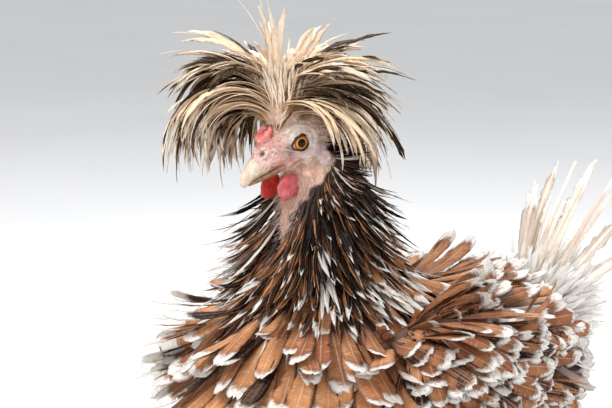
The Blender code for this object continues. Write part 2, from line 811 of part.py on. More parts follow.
def head_swellings(hen, extra=0.0):
    """Lids, cheeks and lips on both sides, and the chin."""
    chin = [r * MM + extra for r in (7, 11, 7)]
    made = [ball("chin", head_point(2 * MM, 0, -13 * MM), chin, hen, rings=6, sides=10, turn=HEAD_TURN)]
    for forward, out, up, radii, rings, sides in (
        (0, 11.5, 0, (6.2, 7.4, 7.0), 6, 12),
        (-7, 11.2, -12, (6.2, 11.0, 9.0), 6, 10),
        (7.0, 8.8, -11.4, (3.2, 7.5, 2.8), 5, 8),
    ):
        for hand, _ in HANDS:
            place = head_point(forward * MM, hand * out * MM, up * MM)
            size = [r * MM + extra for r in radii]
            made.append(ball("swelling", place, size, hen, rings=rings, sides=sides, turn=HEAD_TURN))
    return made


def head_cutters(hen):
    """The whole outer form of the head, grown by the gap that its neighbours keep."""
    return [head_form("cut", hen, extra=GAP)] + head_swellings(hen, extra=GAP)


def build_head(hen, skin):
    """The bare head: lids round the eyes, cheeks, chin and the line of the mouth."""
    head = head_form("head", hen, skin)
    combine(head, head_swellings(hen), "UNION")
    mouth = head_point(15 * MM, 0, -10.6 * MM)
    cuts = [block("mouth", mouth, (40 * MM, 24 * MM, 0.6 * MM), HEAD_TURN, hen)]
    for hand, _ in HANDS:
        cuts.append(eye_form("socket", hand, hen, extra=GAP))
        outer = head_point(0, hand * 18 * MM, 0)
        cuts.append(rod("opening", outer, Vector((hand, 0, 0)), LID_OPENING, 10 * MM, hen))
    return combine(head, cuts, "DIFFERENCE")


def build_bill(hen, horn):
    """Upper bill with raised, open nostrils, and lower bill under it."""
    upper = bill_form("bill_upper", UPPER_BILL_SHAPE, hen, horn)
    domes, pits = [], []
    for hand, _ in HANDS:
        dome = head_point(22.5 * MM, hand * 3.6 * MM, 3.4 * MM)
        pit = head_point(24 * MM, hand * 6.9 * MM, 1.6 * MM)
        dome_radii = (3.6 * MM, 4.4 * MM, 3.8 * MM)
        pit_radii = (1.7 * MM, 2.2 * MM, 1.2 * MM)
        domes.append(ball("dome", dome, dome_radii, hen, rings=5, sides=8, turn=HEAD_TURN))
        pits.append(ball("pit", pit, pit_radii, hen, rings=4, sides=6, turn=HEAD_TURN))
    combine(upper, domes, "UNION")
    combine(upper, pits + head_cutters(hen), "DIFFERENCE")
    lower = bill_form("bill_lower", LOWER_BILL_SHAPE, hen, horn)
    cuts = head_cutters(hen) + [bill_form("cut", UPPER_BILL_SHAPE, hen, extra=GAP)]
    return upper, combine(lower, cuts, "DIFFERENCE")


def build_comb(hen, red):
    """A small comb of two horns in a V, ahead of the crest."""
    base = head_point(13.5 * MM, 0, 8.5 * MM)
    comb = ball("comb", base, (6 * MM, 4.2 * MM, 3.4 * MM), hen, red, rings=6, sides=10, turn=HEAD_TURN)
    horns = []
    for hand, _ in HANDS:
        for out, up, size in ((3.8, 10.5, 3.0), (5.2, 13.0, 2.4)):
            place = head_point((13 - 0.2 * up) * MM, hand * out * MM, up * MM)
            radii = (size * MM, size * MM, size * 1.1 * MM)
            horns.append(ball("horn", place, radii, hen, rings=5, sides=7, turn=HEAD_TURN))
    return combine(comb, horns, "UNION")


def build_wattle(hen, hand, word, red):
    """A hanging lobe of three bulbs, rooted beside the lower bill."""
    centre = Vector((hand * 7, -106.5, 291)) * MM
    wattle = ball("wattle_" + word, centre, (2.9 * MM, 7.4 * MM, 7.4 * MM), hen, red, rings=6, sides=8)
    low, high = Vector((hand * 0.6, -2.6, -3.0)) * MM, Vector((-hand * 0.8, 2.4, 5.5)) * MM
    bulbs = [
        ball("bulb", centre + low, (2.8 * MM, 4.6 * MM, 4.6 * MM), hen, rings=5, sides=6),
        ball("bulb", centre + high, (2.6 * MM, 6.0 * MM, 5.0 * MM), hen, rings=5, sides=6),
    ]
    return combine(wattle, bulbs, "UNION")


def build_ear(hen, hand, word, skin):
    """The earlobe, with a shallow cup."""
    centre = head_point(-10.5 * MM, hand * 17.2 * MM, -17.5 * MM)
    radii = (3.0 * MM, 4.8 * MM, 6.4 * MM)
    ear = ball("ear_" + word, centre, radii, hen, skin, rings=5, sides=8, turn=HEAD_TURN)
    hollow = centre + Vector((hand * 3.6 * MM, 0, 1 * MM))
    cup = ball("cup", hollow, (2.2 * MM, 2.4 * MM, 3.4 * MM), hen, rings=5, sides=6, turn=HEAD_TURN)
    return combine(ear, [cup], "DIFFERENCE")


def build_foot(hen, hand, word, scales, horn):
    """Four toes joined at the ankle, flat where they stand, and a claw on each."""
    foot = toe_form("foot_" + word, hand, "middle", hen)
    combine(foot, [toe_form("toe", hand, toe, hen) for toe in ("inner", "outer", "hind")], "UNION")
    floor = block("floor", Vector((0, 0, -0.05)), (0.4, 0.4, 0.1), Matrix.Identity(4), hen)
    combine(foot, [floor, shank_form("cut", hand, hen, extra=GAP)], "DIFFERENCE")
    foot.data.materials.clear()
    foot.data.materials.append(scales)
    for toe in TOE_LENGTHS:
        claw = claw_form("claw_%s_%s" % (word, toe), hand, toe, hen, horn)
        combine(claw, [toe_form("cut", hand, toe, hen, extra=GAP)], "DIFFERENCE")


def stand_at_origin(home):
    """Smooths the shading and hangs every piece on one empty, which puts the origin under the middle."""
    corners = [v.co for thing in home.objects for v in thing.data.vertices]
    low = [min(c[axis] for c in corners) for axis in range(3)]
    high = [max(c[axis] for c in corners) for axis in range(3)]
    stand = bpy.data.objects.new("hen", None)
    for thing in list(home.objects):
        thing.data.shade_smooth()
        thing.data.set_sharp_from_angle(angle=math.radians(35))
        thing.parent = stand
    home.objects.link(stand)
    stand.location = (-(low[0] + high[0]) / 2, -(low[1] + high[1]) / 2, -low[2])


def build():
    clear_scene()
    hen = collection("polish_hen")
    buff = finish("buff_feather", (0.55, 0.27, 0.11), 0.75)
    brown = finish("brown_feather", (0.36, 0.17, 0.08), 0.75)
    dark = finish("dark_feather", (0.10, 0.06, 0.04), 0.7)
    cream = finish("cream_feather", (0.80, 0.66, 0.48), 0.75)
    white = finish("white_feather", (0.85, 0.82, 0.78), 0.75)
    face = finish("face_skin", (0.62, 0.42, 0.36), 0.6)
    red = finish("comb_skin", (0.70, 0.10, 0.09), 0.45)
    horn = finish("bill_horn", (0.66, 0.56, 0.42), 0.4)
    iris = finish("eye", (0.75, 0.28, 0.02), 0.1)
    lobe = finish("earlobe_skin", (0.72, 0.68, 0.72), 0.6)
    slate = finish("leg_scales", (0.22, 0.25, 0.29), 0.5)
    nail = finish("claw_horn", (0.35, 0.31, 0.27), 0.4)

    # Cores, each cut back from the one that it grows from
    torso = torso_form("torso", hen, buff)
    head = build_head(hen, face)
    upper, lower = build_bill(hen, horn)
    neck = neck_form("neck", hen, dark)
    combine(neck, [torso_form("cut", hen, extra=GAP)] + head_cutters(hen), "DIFFERENCE")
    knob = knob_form("crest", hen, cream)
    combine(knob, head_cutters(hen), "DIFFERENCE")
    comb = build_comb(hen, red)
    combine(comb, head_cutters(hen) + [
        knob_form("cut", hen, extra=GAP), bill_form("cut", UPPER_BILL_SHAPE, hen, extra=GAP)
    ], "DIFFERENCE")
    tail = tail_form("tail", hen, white)
    combine(tail, [torso_form("cut", hen, extra=GAP)], "DIFFERENCE")
    small, wings, thighs = [head, upper, lower, comb], {}, {}
    for hand, word in HANDS:
        small.append(eye_form("eye_" + word, hand, hen, iris))
        wattle = build_wattle(hen, hand, word, red)
        combine(wattle, head_cutters(hen) + [
            bill_form("cut", LOWER_BILL_SHAPE, hen, extra=GAP), neck_form("cut", hen, extra=GAP)
        ], "DIFFERENCE")
        ear = build_ear(hen, hand, word, lobe)
        combine(ear, head_cutters(hen) + [neck_form("cut", hen, extra=GAP)], "DIFFERENCE")
        wings[hand] = wing_form("wing_" + word, hand, hen, brown)
        combine(wings[hand], [torso_form("cut", hen, extra=GAP)], "DIFFERENCE")
        thighs[hand] = thigh_form("thigh_" + word, hand, hen, buff)
        combine(thighs[hand], [torso_form("cut", hen, extra=GAP)], "DIFFERENCE")
        shank = shank_form("shank_" + word, hand, hen, slate)
        combine(shank, [thigh_form("cut", hand, hen, extra=GAP)], "DIFFERENCE")
        small += [wattle, ear, shank]
        build_foot(hen, hand, word, slate, nail)

    # Feathers, node by node, each node's kept clear of all that stands already
    growing = [(knob, crest_seeds, ()), (neck, hackle_seeds, ())]
    growing += [(wing, wing_seeds, (hand,)) for hand, wing in wings.items()]
    growing.append((tail, tail_seeds, ()))
    growing += [(thigh, thigh_seeds, (hand,)) for hand, thigh in thighs.items()]
    covers = [tree_of_object(core) for core, _, _ in growing[1:]]
    growing.append((torso, torso_seeds, (covers,)))
    plumages = [Plumage(core, number) for number, (core, _, _) in enumerate(growing)]
    fixed = [tree_of_object(thing) for thing in small]
    for plumage, (_, seeds, details) in zip(plumages, growing):
        others = fixed + [other.tree() for other in plumages if other is not plumage]
        plumage.grow(seeds(plumage, *details), others)
    for plumage in plumages:
        plumage.join(hen)
    stand_at_origin(hen)


build()
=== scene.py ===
"""A frizzle-feathered Polish hen: her skin, plumage, bill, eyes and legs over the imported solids.

Shapes are worked out in millimetres in the hen's own frame, where she faces -Y, +Z is up and her
left side is +X. A bearing is level and in degrees: 0 is ahead of her and 90 is to her left.
"""
import math
from collections import namedtuple

import bpy
import numpy as np
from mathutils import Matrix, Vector


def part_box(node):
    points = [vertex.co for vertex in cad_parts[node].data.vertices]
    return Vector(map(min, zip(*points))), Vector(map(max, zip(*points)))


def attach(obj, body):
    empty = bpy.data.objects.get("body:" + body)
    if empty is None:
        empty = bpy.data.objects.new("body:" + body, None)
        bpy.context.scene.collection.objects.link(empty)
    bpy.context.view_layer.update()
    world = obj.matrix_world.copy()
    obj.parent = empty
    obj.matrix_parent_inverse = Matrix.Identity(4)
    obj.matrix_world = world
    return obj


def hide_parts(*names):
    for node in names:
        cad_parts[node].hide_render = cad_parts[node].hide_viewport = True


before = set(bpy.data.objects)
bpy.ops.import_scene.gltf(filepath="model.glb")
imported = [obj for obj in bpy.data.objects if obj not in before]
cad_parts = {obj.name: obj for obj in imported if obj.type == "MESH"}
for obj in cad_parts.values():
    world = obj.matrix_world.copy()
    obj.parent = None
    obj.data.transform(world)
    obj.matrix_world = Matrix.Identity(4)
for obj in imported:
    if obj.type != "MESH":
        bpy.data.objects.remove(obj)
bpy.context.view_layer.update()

MM = 0.001
UP = np.array((0.0, 0.0, 1.0))
LEFT = np.array((1.0, 0.0, 0.0))
AHEAD = np.array((0.0, -1.0, 0.0))
HANDS = ((1, "left"), (-1, "right"))

# The head's own frame starts midway between the eyes and is pitched towards the bill
EYES_MID = np.array((0.0, -100.0, 320.0))
HEAD_PITCH = math.radians(26)
FORWARD = np.array((0.0, -math.cos(HEAD_PITCH), -math.sin(HEAD_PITCH)))
HEAD_UP = np.array((0.0, -math.sin(HEAD_PITCH), math.cos(HEAD_PITCH)))
HEAD_AXES = np.stack((LEFT, -FORWARD, HEAD_UP))
WORLD_AXES = np.eye(3)
# The eyeballs' place beside the middle and their radius, how far the lids open upwards, and the
# knob of the skull under the crest
EYE_OUT = 10.6
EYE_RADIUS = 6.6
LID_TOP = 4.5
KNOB = (-5.0, 0.0, 19.0)
KNOB_RADII = np.array((14.5, 15.0, 13.0))
NECK_BASE = np.array((0.0, -66.0, 205.0))


def eyes_in_frame():
    """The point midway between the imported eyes, in metres."""
    corners = [np.array(corner) for word in ("left", "right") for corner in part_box("eye_" + word)]
    return sum(corners) / len(corners)


SHIFT = eyes_in_frame() - EYES_MID * MM


# Arithmetic on whole arrays


def unit(v):
    """Each vector over its own length."""
    return v / np.maximum(np.linalg.norm(v, axis=-1, keepdims=True), 1e-9)


def smooth(low, high, x):
    """0 below low, 1 above high, and an S-curve between them."""
    t = np.clip((x - low) / (high - low), 0, 1)
    return t * t * (3 - 2 * t)


def smoothed(values, times, at):
    """The Catmull-Rom curve through the rows of values at their times, read at every `at`."""
    values, times = np.asarray(values, float), np.asarray(times, float)
    at = np.clip(at, times[0], times[-1])
    slopes = np.empty_like(values)
    shape = (-1,) + (1,) * (values.ndim - 1)
    slopes[1:-1] = (values[2:] - values[:-2]) / (times[2:] - times[:-2]).reshape(shape)
    slopes[0] = (values[1] - values[0]) / (times[1] - times[0])
    slopes[-1] = (values[-1] - values[-2]) / (times[-1] - times[-2])
    k = np.clip(np.searchsorted(times, at, side="right") - 1, 0, len(times) - 2)
    span = times[k + 1] - times[k]
    t = (at - times[k]) / span
    if values.ndim > 1:
        t, span = t[..., None], span[..., None]
    return (
        values[k] * (2 * t**3 - 3 * t**2 + 1)
        + slopes[k] * span * (t**3 - 2 * t**2 + t)
        + values[k + 1] * (3 * t**2 - 2 * t**3)
        + slopes[k + 1] * span * (t**3 - t**2)
    )


def lumps(points, size, number):
    """A soft field from about -1 to 1: nine crossed sine waves some `size` mm long."""
    draw = np.random.default_rng(number)
    waves = unit(draw.normal(size=(9, 3))) * (2 * math.pi / size) * draw.uniform(0.6, 1.5, (9, 1))
    return np.sin(points @ waves.T + draw.uniform(0, 2 * math.pi, 9)).mean(-1) * 2.2


def bearing(degrees):
    """The level direction at a bearing b: (sin b, -cos b, 0)."""
    turn = np.radians(degrees)
    return np.stack((np.sin(turn), -np.cos(turn), np.zeros_like(turn)), -1)


def spaced(rng, count, whole=360.0):
    """Even places round a whole turn, the first of them at random."""
    return whole * (np.arange(count) + rng.uniform(0, 1)) / count


def laid(tint, colour, share):
    """One colour over another: the tint times 1 - share, plus the colour times the share."""
    share = np.clip(share, 0, 1)[:, None]
    return tint * (1 - share) + np.array(colour) * share


def over_surface(along, normal):
    """The part of a direction that lies along a surface with this normal."""
    return unit(along - normal * (along * normal).sum(-1, keepdims=True))


def turned(vectors, axes, degrees):
    """Vectors square to their axes, turned about them."""
    angle = np.radians(degrees)[:, None]
    return vectors * np.cos(angle) + np.cross(axes, vectors) * np.sin(angle)


def head_point(forward, out, up):
    """The point forward, out to her left and up from the eyes' middle, in the head's frame."""
    f, o, u = np.broadcast_arrays(forward, out, up)
    return EYES_MID + f[..., None] * FORWARD + o[..., None] * LEFT + u[..., None] * HEAD_UP


def head_place(points):
    """Reach forward of the eyes, place to her left and height, in the head's frame."""
    return np.moveaxis((points - EYES_MID) @ np.stack((FORWARD, LEFT, HEAD_UP)).T, -1, 0)


# Closed surfaces


def shell(grid, first, last):
    """Points and faces of a closed surface: rings of points between two poles."""
    rings, sides = grid.shape[:2]
    index = np.arange(rings * sides).reshape(rings, sides)
    after = np.roll(index, -1, axis=1)
    quads = np.stack([index[:-1], index[1:], after[1:], after[:-1]], -1).reshape(-1, 4)
    poles = rings * sides + np.arange(2)
    ends = np.concatenate([
        np.stack([index[0], after[0], np.full(sides, poles[0])], -1),
        np.stack([after[-1], index[-1], np.full(sides, poles[1])], -1),
    ])
    return np.concatenate([grid.reshape(-1, 3), [first, last]]), quads, ends


def joined(shapes):
    """Several shells as one list of points and faces."""
    counts = np.cumsum([0] + [len(points) for points, _, _ in shapes])
    return (
        np.concatenate([points for points, _, _ in shapes]),
        np.concatenate([quads + start for (_, quads, _), start in zip(shapes, counts)]),
        np.concatenate([ends + start for (_, _, ends), start in zip(shapes, counts)]),
    )


def ball(centre, radii, axes=WORLD_AXES, rings=20, sides=28):
    """An ellipsoid: centre + the axes' sum of radius times the point of a unit ball."""
    polar = np.linspace(0, math.pi, rings + 2)[1:-1, None]
    turn = np.linspace(0, 2 * math.pi, sides, endpoint=False)[None, :]
    x, y = np.sin(polar) * np.cos(turn), np.sin(polar) * np.sin(turn)
    z = np.broadcast_to(np.cos(polar), x.shape)
    form = np.diag(radii) @ axes
    return shell(centre + np.stack((x, y, z), -1) @ form, centre + form[2], centre - form[2])


class Tube:
    """An oval form carried along a path.

    Its point at share t and turn a is centre(t) + side·width·cos a + up·height·sin a, where the
    height is the section's rise above the middle line and its drop below it.
    """

    def __init__(self, centres, sizes, up, grow=0.0):
        """Rows of centres, and of half width, rise and drop there, each widened by grow."""
        self.centres = np.array(centres, float)
        self.sizes = np.array(sizes, float) + grow
        self.up = np.array(up, float)
        steps = np.linalg.norm(np.diff(self.centres, axis=0), axis=1)
        self.times = np.concatenate([[0], np.cumsum(steps)]) / steps.sum()

    def directions(self, t):
        """The path's own direction at share t, and the section's up and side square to it."""
        t = np.clip(t, 0.01, 0.99)
        before = smoothed(self.centres, self.times, t - 0.01)
        ahead = unit(smoothed(self.centres, self.times, t + 0.01) - before)
        up = over_surface(self.up, ahead)
        return ahead, up, np.cross(ahead, up)

    def point(self, t, turn, scale=1.0):
        """The form's points at these shares and turns, with the section at a scale."""
        centre = smoothed(self.centres, self.times, t)
        width, rise, drop = np.moveaxis(smoothed(self.sizes, self.times, t), -1, 0) * scale
        _, up, side = self.directions(t)
        height = np.where(np.sin(turn) > 0, rise, drop)
        across, over = (width * np.cos(turn))[..., None], (height * np.sin(turn))[..., None]
        return centre + side * across + up * over

    def surface(self, t, turn):
        """Points on the form and its outward normals there."""
        near = 0.02
        around = self.point(t, turn + near) - self.point(t, turn - near)
        sooner, later = np.maximum(t - near, 0), np.minimum(t + near, 1)
        onward = self.point(later, turn) - self.point(sooner, turn)
        return self.point(t, turn), unit(np.cross(onward, around))

    def mesh(self, rings, sides, domes=(0.5, 0.5)):
        """The closed form, with a dome at each end as high as its share of the end's half width."""
        turn = np.linspace(0, 2 * math.pi, sides, endpoint=False)[None, :]
        rows = [self.point(*np.broadcast_arrays(np.linspace(0, 1, rings)[:, None], turn))]
        poles = []
        for end, dome in zip((0.0, 1.0), domes):
            way = self.directions(np.array(end))[0] * (2 * end - 1)
            way = way * self.sizes[int(-end), 0] * dome
            tilt = np.radians((25, 50, 72))[:, None]
            t, a = np.broadcast_arrays(np.full_like(tilt, end), turn)
            cap = self.point(t, a, np.broadcast_to(np.cos(tilt), t.shape))
            rows.append(cap + way * np.sin(tilt)[..., None])
            poles.append(self.centres[int(-end)] + way)
        grid = np.concatenate([rows[1][::-1], rows[0], rows[2]])
        return shell(grid, *poles)

    def holds(self, points, axis, share=1.0):
        """True for the points inside the form, whose middle line is read off along one axis."""
        order = np.argsort(self.centres[:, axis])
        at, knots = points[:, axis], self.centres[order, axis]
        middle = np.stack([np.interp(at, knots, self.centres[order, k]) for k in range(3)], -1)
        width, rise, drop = (np.interp(at, knots, self.sizes[order, k]) for k in range(3))
        side, high = (points - middle) @ LEFT, (points - middle) @ self.up
        near = (side / width) ** 2 + (high / np.where(high > 0, rise, drop)) ** 2 < share**2
        return near & (at > knots[0]) & (at < knots[-1])


def mesh_object(name, points, quads, ends, finish=None, maps=(), marks=()):
    """An object from arrays; maps are UV maps and marks are attributes, both given by point."""
    mesh = bpy.data.meshes.new(name)
    corners = np.concatenate([quads.ravel(), ends.ravel()]).astype(np.int32)
    sizes = np.concatenate([np.full(len(quads), 4), np.full(len(ends), 3)])
    mesh.vertices.add(len(points))
    mesh.vertices.foreach_set("co", (points * MM + SHIFT).astype(np.float32).ravel())
    mesh.loops.add(len(corners))
    mesh.loops.foreach_set("vertex_index", corners)
    mesh.polygons.add(len(sizes))
    mesh.polygons.foreach_set("loop_start", (np.cumsum(sizes) - sizes).astype(np.int32))
    mesh.update(calc_edges=True)
    for title, values in maps:
        layer = mesh.uv_layers.new(name=title)
        layer.uv.foreach_set("vector", values[corners].astype(np.float32).ravel())
    for title, values in marks:
        kind, slot = ("FLOAT", "value") if values.ndim == 1 else ("FLOAT_VECTOR", "vector")
        layer = mesh.attributes.new(title, kind, "POINT")
        layer.data.foreach_set(slot, values.astype(np.float32).ravel())
    mesh.polygons.foreach_set("use_smooth", np.ones(len(sizes), bool))
    made = bpy.data.objects.new(name, mesh)
    bpy.context.scene.collection.objects.link(made)
    if finish:
        mesh.materials.append(finish)
    return made


def fused(shapes, voxel, rounds, magnify=None):
    """One closed surface round all the shapes, with softened creases: points and quads.

    magnify is a pair of functions that stretch the points before and shrink them after, so
    that the places they enlarge get smaller faces.
    """
    points, quads, ends = joined(shapes)
    form = mesh_object("form", magnify[0](points) if magnify else points, quads, ends)
    remesh = form.modifiers.new("remesh", "REMESH")
    remesh.mode = "VOXEL"
    remesh.voxel_size = voxel * MM
    soften = form.modifiers.new("soften", "SMOOTH")
    soften.factor = 0.5
    soften.iterations = rounds
    bpy.context.view_layer.update()
    mesh = form.evaluated_get(bpy.context.evaluated_depsgraph_get()).to_mesh()
    points = np.empty(len(mesh.vertices) * 3, np.float32)
    mesh.vertices.foreach_get("co", points)
    corners = np.empty(len(mesh.loops), np.int32)
    mesh.loops.foreach_get("vertex_index", corners)
    bpy.data.objects.remove(form)
    points = (points.reshape(-1, 3).astype(float) - SHIFT) / MM
    return (magnify[1](points) if magnify else points), corners.reshape(-1, 4)


def point_normals(points, quads):
    """The mean direction of the faces round each point."""
    a, b, c, d = (points[quads[:, k]] for k in range(4))
    face = np.cross(c - a, d - b)
    total = np.zeros_like(points)
    for k in range(4):
        np.add.at(total, quads[:, k], face)
    return unit(total)


NO_ENDS = np.empty((0, 3), int)


# Finishes: small helpers for shader nodes


def feed(tree, socket, value):
    """Joins a socket to another one, or sets it."""
    if isinstance(value, bpy.types.NodeSocket):
        tree.links.new(value, socket)
    elif value is not None:
        socket.default_value = value


class Recipe:
    """Adds nodes to a tree, each call giving the output of the node that it adds."""

    def __init__(self, tree):
        self.tree = tree

    def node(self, kind, *values, **settings):
        """A node with these settings, its inputs fed in their order."""
        made = self.tree.nodes.new(kind)
        for key, value in settings.items():
            setattr(made, key, value)
        for socket, value in zip(made.inputs, values):
            feed(self.tree, socket, value)
        return made

    def math(self, operation, a, b=None):
        """One step of arithmetic on one or two values."""
        return self.node("ShaderNodeMath", a, b, operation=operation).outputs[0]

    def add(self, a, b):
        """a + b."""
        return self.math("ADD", a, b)

    def times(self, a, b):
        """a times b."""
        return self.math("MULTIPLY", a, b)

    def scaled(self, colour, shares):
        """A colour with its red, green and blue each times their share."""
        return self.node("ShaderNodeVectorMath", colour, shares, operation="MULTIPLY").outputs[0]

    def step(self, x, low, high):
        """0 below low, 1 above high, smooth between."""
        made = self.node("ShaderNodeMapRange", x, low, high, interpolation_type="SMOOTHSTEP")
        return made.outputs[0]

    def mix(self, share, a, b):
        """Colour a, or b by its share."""
        made = self.node("ShaderNodeMix", data_type="RGBA")
        feed(self.tree, made.inputs[0], share)
        feed(self.tree, made.inputs[6], a)
        feed(self.tree, made.inputs[7], b)
        return made.outputs[2]

    def join(self, x, y, z):
        """A vector from its parts."""
        return self.node("ShaderNodeCombineXYZ", x, y, z).outputs[0]

    def parts(self, vector):
        """The parts of a vector."""
        return self.node("ShaderNodeSeparateXYZ", vector).outputs

    def noise(self, vector, scale, detail=2.0, roughness=0.5):
        """A soft field from 0 to 1 with so many features to a unit."""
        made = self.node("ShaderNodeTexNoise")
        feed(self.tree, made.inputs["Vector"], vector)
        for title, value in (("Scale", scale), ("Detail", detail), ("Roughness", roughness)):
            made.inputs[title].default_value = value
        return made.outputs[0]

    def cells(self, vector, scale):
        """Distance from the middle of the nearest of many cells."""
        made = self.node("ShaderNodeTexVoronoi")
        feed(self.tree, made.inputs["Vector"], vector)
        made.inputs["Scale"].default_value = scale
        return made.outputs[0]

    def place(self):
        """The point's place in the hen's frame, in metres."""
        return self.node("ShaderNodeTexCoord").outputs["Object"]

    def mark(self, title):
        """The node that reads one of the piece's attributes."""
        return self.node("ShaderNodeAttribute", attribute_name=title)

    def map(self, title):
        """The point's place on one of the piece's UV maps."""
        return self.node("ShaderNodeUVMap", uv_map=title).outputs[0]


def group(name, colours, values):
    """A node group with these colour and value inputs, and Colour and Height outputs."""
    tree = bpy.data.node_groups.new(name, "ShaderNodeTree")
    for title in colours:
        tree.interface.new_socket(title, in_out="INPUT", socket_type="NodeSocketColor")
    for title in values:
        tree.interface.new_socket(title, in_out="INPUT", socket_type="NodeSocketFloat")
    tree.interface.new_socket("Colour", in_out="OUTPUT", socket_type="NodeSocketColor")
    tree.interface.new_socket("Height", in_out="OUTPUT", socket_type="NodeSocketFloat")
    return tree, tree.nodes.new("NodeGroupInput"), tree.nodes.new("NodeGroupOutput")


FEATHER_COLOURS = ("Ground", "Deep", "Tip", "Dark", "Down")


def feather_marks():
    """One feather's colours and relief, from its Vane map, its Marks and its Pale share.

    Vane runs 0 to 1 across and along, and a barb keeps one value along. Marks holds the tone
    between the two ground colours, where the tip starts and how much is dark. Middle draws the
    dark towards the shaft, so that the ground colour is left along the edges.
    """
    tree, given, out = group("feather_marks", FEATHER_COLOURS, ("Middle",))
    r = Recipe(tree)
    across, along, _ = r.parts(r.map("Vane"))
    tone, tip, dark = r.parts(r.mark("Marks").outputs["Vector"])
    pale = r.mark("Pale").outputs["Fac"]
    own = r.times(tone, 41.0)
    off = r.math("ABSOLUTE", r.add(across, -0.5))
    barbs = r.noise(r.join(r.times(across, 2.2), r.times(along, 44.0), own), 1.0, 3.0, 0.65)
    strands = r.noise(r.join(r.times(across, 11.0), r.times(along, 1.7), own), 1.0, 2.0)
    clouds = r.noise(r.join(r.times(across, 2.0), r.times(along, 2.6), own), 1.0, 1.0)
    loose = r.add(barbs, -0.5)
    ground = r.mix(r.add(tone, r.times(r.add(clouds, -0.5), 1.4)), given.outputs["Ground"],
                   given.outputs["Deep"])
    light = r.times(r.step(r.add(barbs, r.times(off, 0.3)), 0.56, 0.74), 0.2)
    ground = r.mix(light, ground, given.outputs["Tip"])
    # Dark takes the share of the vane that the mark says, in long patches with barbed edges
    patch = r.add(r.times(clouds, 1.1), r.times(strands, 0.9))
    patch = r.add(patch, r.times(loose, 0.5))
    patch = r.add(patch, r.times(r.add(r.times(off, -1.0), 0.27), given.outputs["Middle"]))
    level = r.add(1.62, r.times(dark, -1.25))
    blot = r.step(r.math("SUBTRACT", patch, level), -0.07, 0.09)
    colour = r.mix(blot, ground, given.outputs["Dark"])
    base = r.step(r.add(along, r.times(loose, 0.3)), 0.38, 0.1)
    colour = r.mix(r.times(base, 0.8), colour, given.outputs["Down"])
    # The tip starts further back along the edges, behind a thin dark line
    reach = r.add(along, r.times(r.times(off, off), 0.5))
    reach = r.math("SUBTRACT", r.add(reach, r.times(loose, 0.14)), tip)
    line = r.times(r.step(reach, -0.1, -0.03), 0.35)
    colour = r.mix(line, colour, given.outputs["Dark"])
    colour = r.mix(r.step(reach, -0.04, 0.05), colour, given.outputs["Tip"])
    colour = r.mix(r.times(pale, r.step(strands, 0.2, 0.45)), colour, given.outputs["Tip"])
    shaft = r.times(r.step(off, 0.045, 0.015), r.add(1.0, r.times(dark, -0.9)))
    colour = r.mix(r.times(shaft, r.add(0.6, r.times(along, -0.35))), colour, given.outputs["Tip"])
    shade = r.times(r.step(r.add(strands, loose), 0.58, 0.22), 0.45)
    colour = r.mix(shade, colour, given.outputs["Down"])
    height = r.add(r.times(barbs, 0.7), r.add(r.times(strands, 0.5), r.times(shaft, 0.8)))
    feed(tree, out.inputs["Colour"], colour)
    feed(tree, out.inputs["Height"], height)
    return tree


def principled(name, roughness, specular=0.5):
    """A new material, its recipe and its Principled shader."""
    made = bpy.data.materials.new(name)
    made.use_nodes = True
    shader = made.node_tree.nodes["Principled BSDF"]
    shader.inputs["Roughness"].default_value = roughness
    shader.inputs["Specular IOR Level"].default_value = specular
    return made, Recipe(made.node_tree), shader


def relief(r, shader, height, strength, distance):
    """Gives the shader a relief that rises by height times a distance in mm, at a strength."""
    bump = r.node("ShaderNodeBump")
    bump.inputs["Strength"].default_value = strength
    bump.inputs["Distance"].default_value = distance * MM
    feed(r.tree, bump.inputs["Height"], height)
    feed(r.tree, shader.inputs["Normal"], bump.outputs[0])


FEATHER_MARKS = feather_marks()
BARB_DARK = (0.008, 0.0055, 0.005, 1)


def feather_finish(name, ground, deep, tip, down, middle=0.0, dark=BARB_DARK, soft=0.0):
    """Feather barbs in the colours given. Soft is how much light passes on through white fluff."""
    made, r, shader = principled(name, 0.6, 0.07)
    if soft:
        shader.inputs["Subsurface Weight"].default_value = soft
        shader.inputs["Subsurface Radius"].default_value = (1.0, 0.9, 0.8)
        shader.inputs["Subsurface Scale"].default_value = 4 * MM
    marks = r.node("ShaderNodeGroup", node_tree=FEATHER_MARKS)
    for title, colour in zip(FEATHER_COLOURS, (ground, deep, tip, dark, down)):
        marks.inputs[title].default_value = colour
    marks.inputs["Middle"].default_value = middle
    feed(r.tree, shader.inputs["Base Color"], marks.outputs["Colour"])
    relief(r, shader, marks.outputs["Height"], 0.45, 0.3)
    return made


BODY_FINISH = feather_finish(
    "buff_barbs", (0.68, 0.30, 0.115, 1), (0.31, 0.10, 0.032, 1), (0.84, 0.80, 0.75, 1),
    (0.26, 0.16, 0.11, 1), dark=(0.03, 0.014, 0.009, 1),
)
HACKLE_FINISH = feather_finish(
    "hackle_barbs", (0.62, 0.24, 0.07, 1), (0.24, 0.075, 0.025, 1), (0.84, 0.79, 0.72, 1),
    (0.05, 0.032, 0.025, 1), middle=1.6,
)
CREST_FINISH = feather_finish(
    "crest_barbs", (0.93, 0.71, 0.49, 1), (0.68, 0.40, 0.20, 1), (0.95, 0.83, 0.68, 1),
    (0.60, 0.38, 0.21, 1), dark=(0.022, 0.011, 0.007, 1),
)
WHITE_FINISH = feather_finish(
    "white_barbs", (0.82, 0.74, 0.65, 1), (0.45, 0.24, 0.12, 1), (0.99, 0.95, 0.90, 1),
    (0.92, 0.87, 0.81, 1), soft=0.3,
)
FUZZ_FINISH = feather_finish(
    "fuzz", (0.84, 0.62, 0.52, 1), (0.52, 0.33, 0.24, 1), (0.92, 0.84, 0.76, 1),
    (0.78, 0.56, 0.46, 1),
)


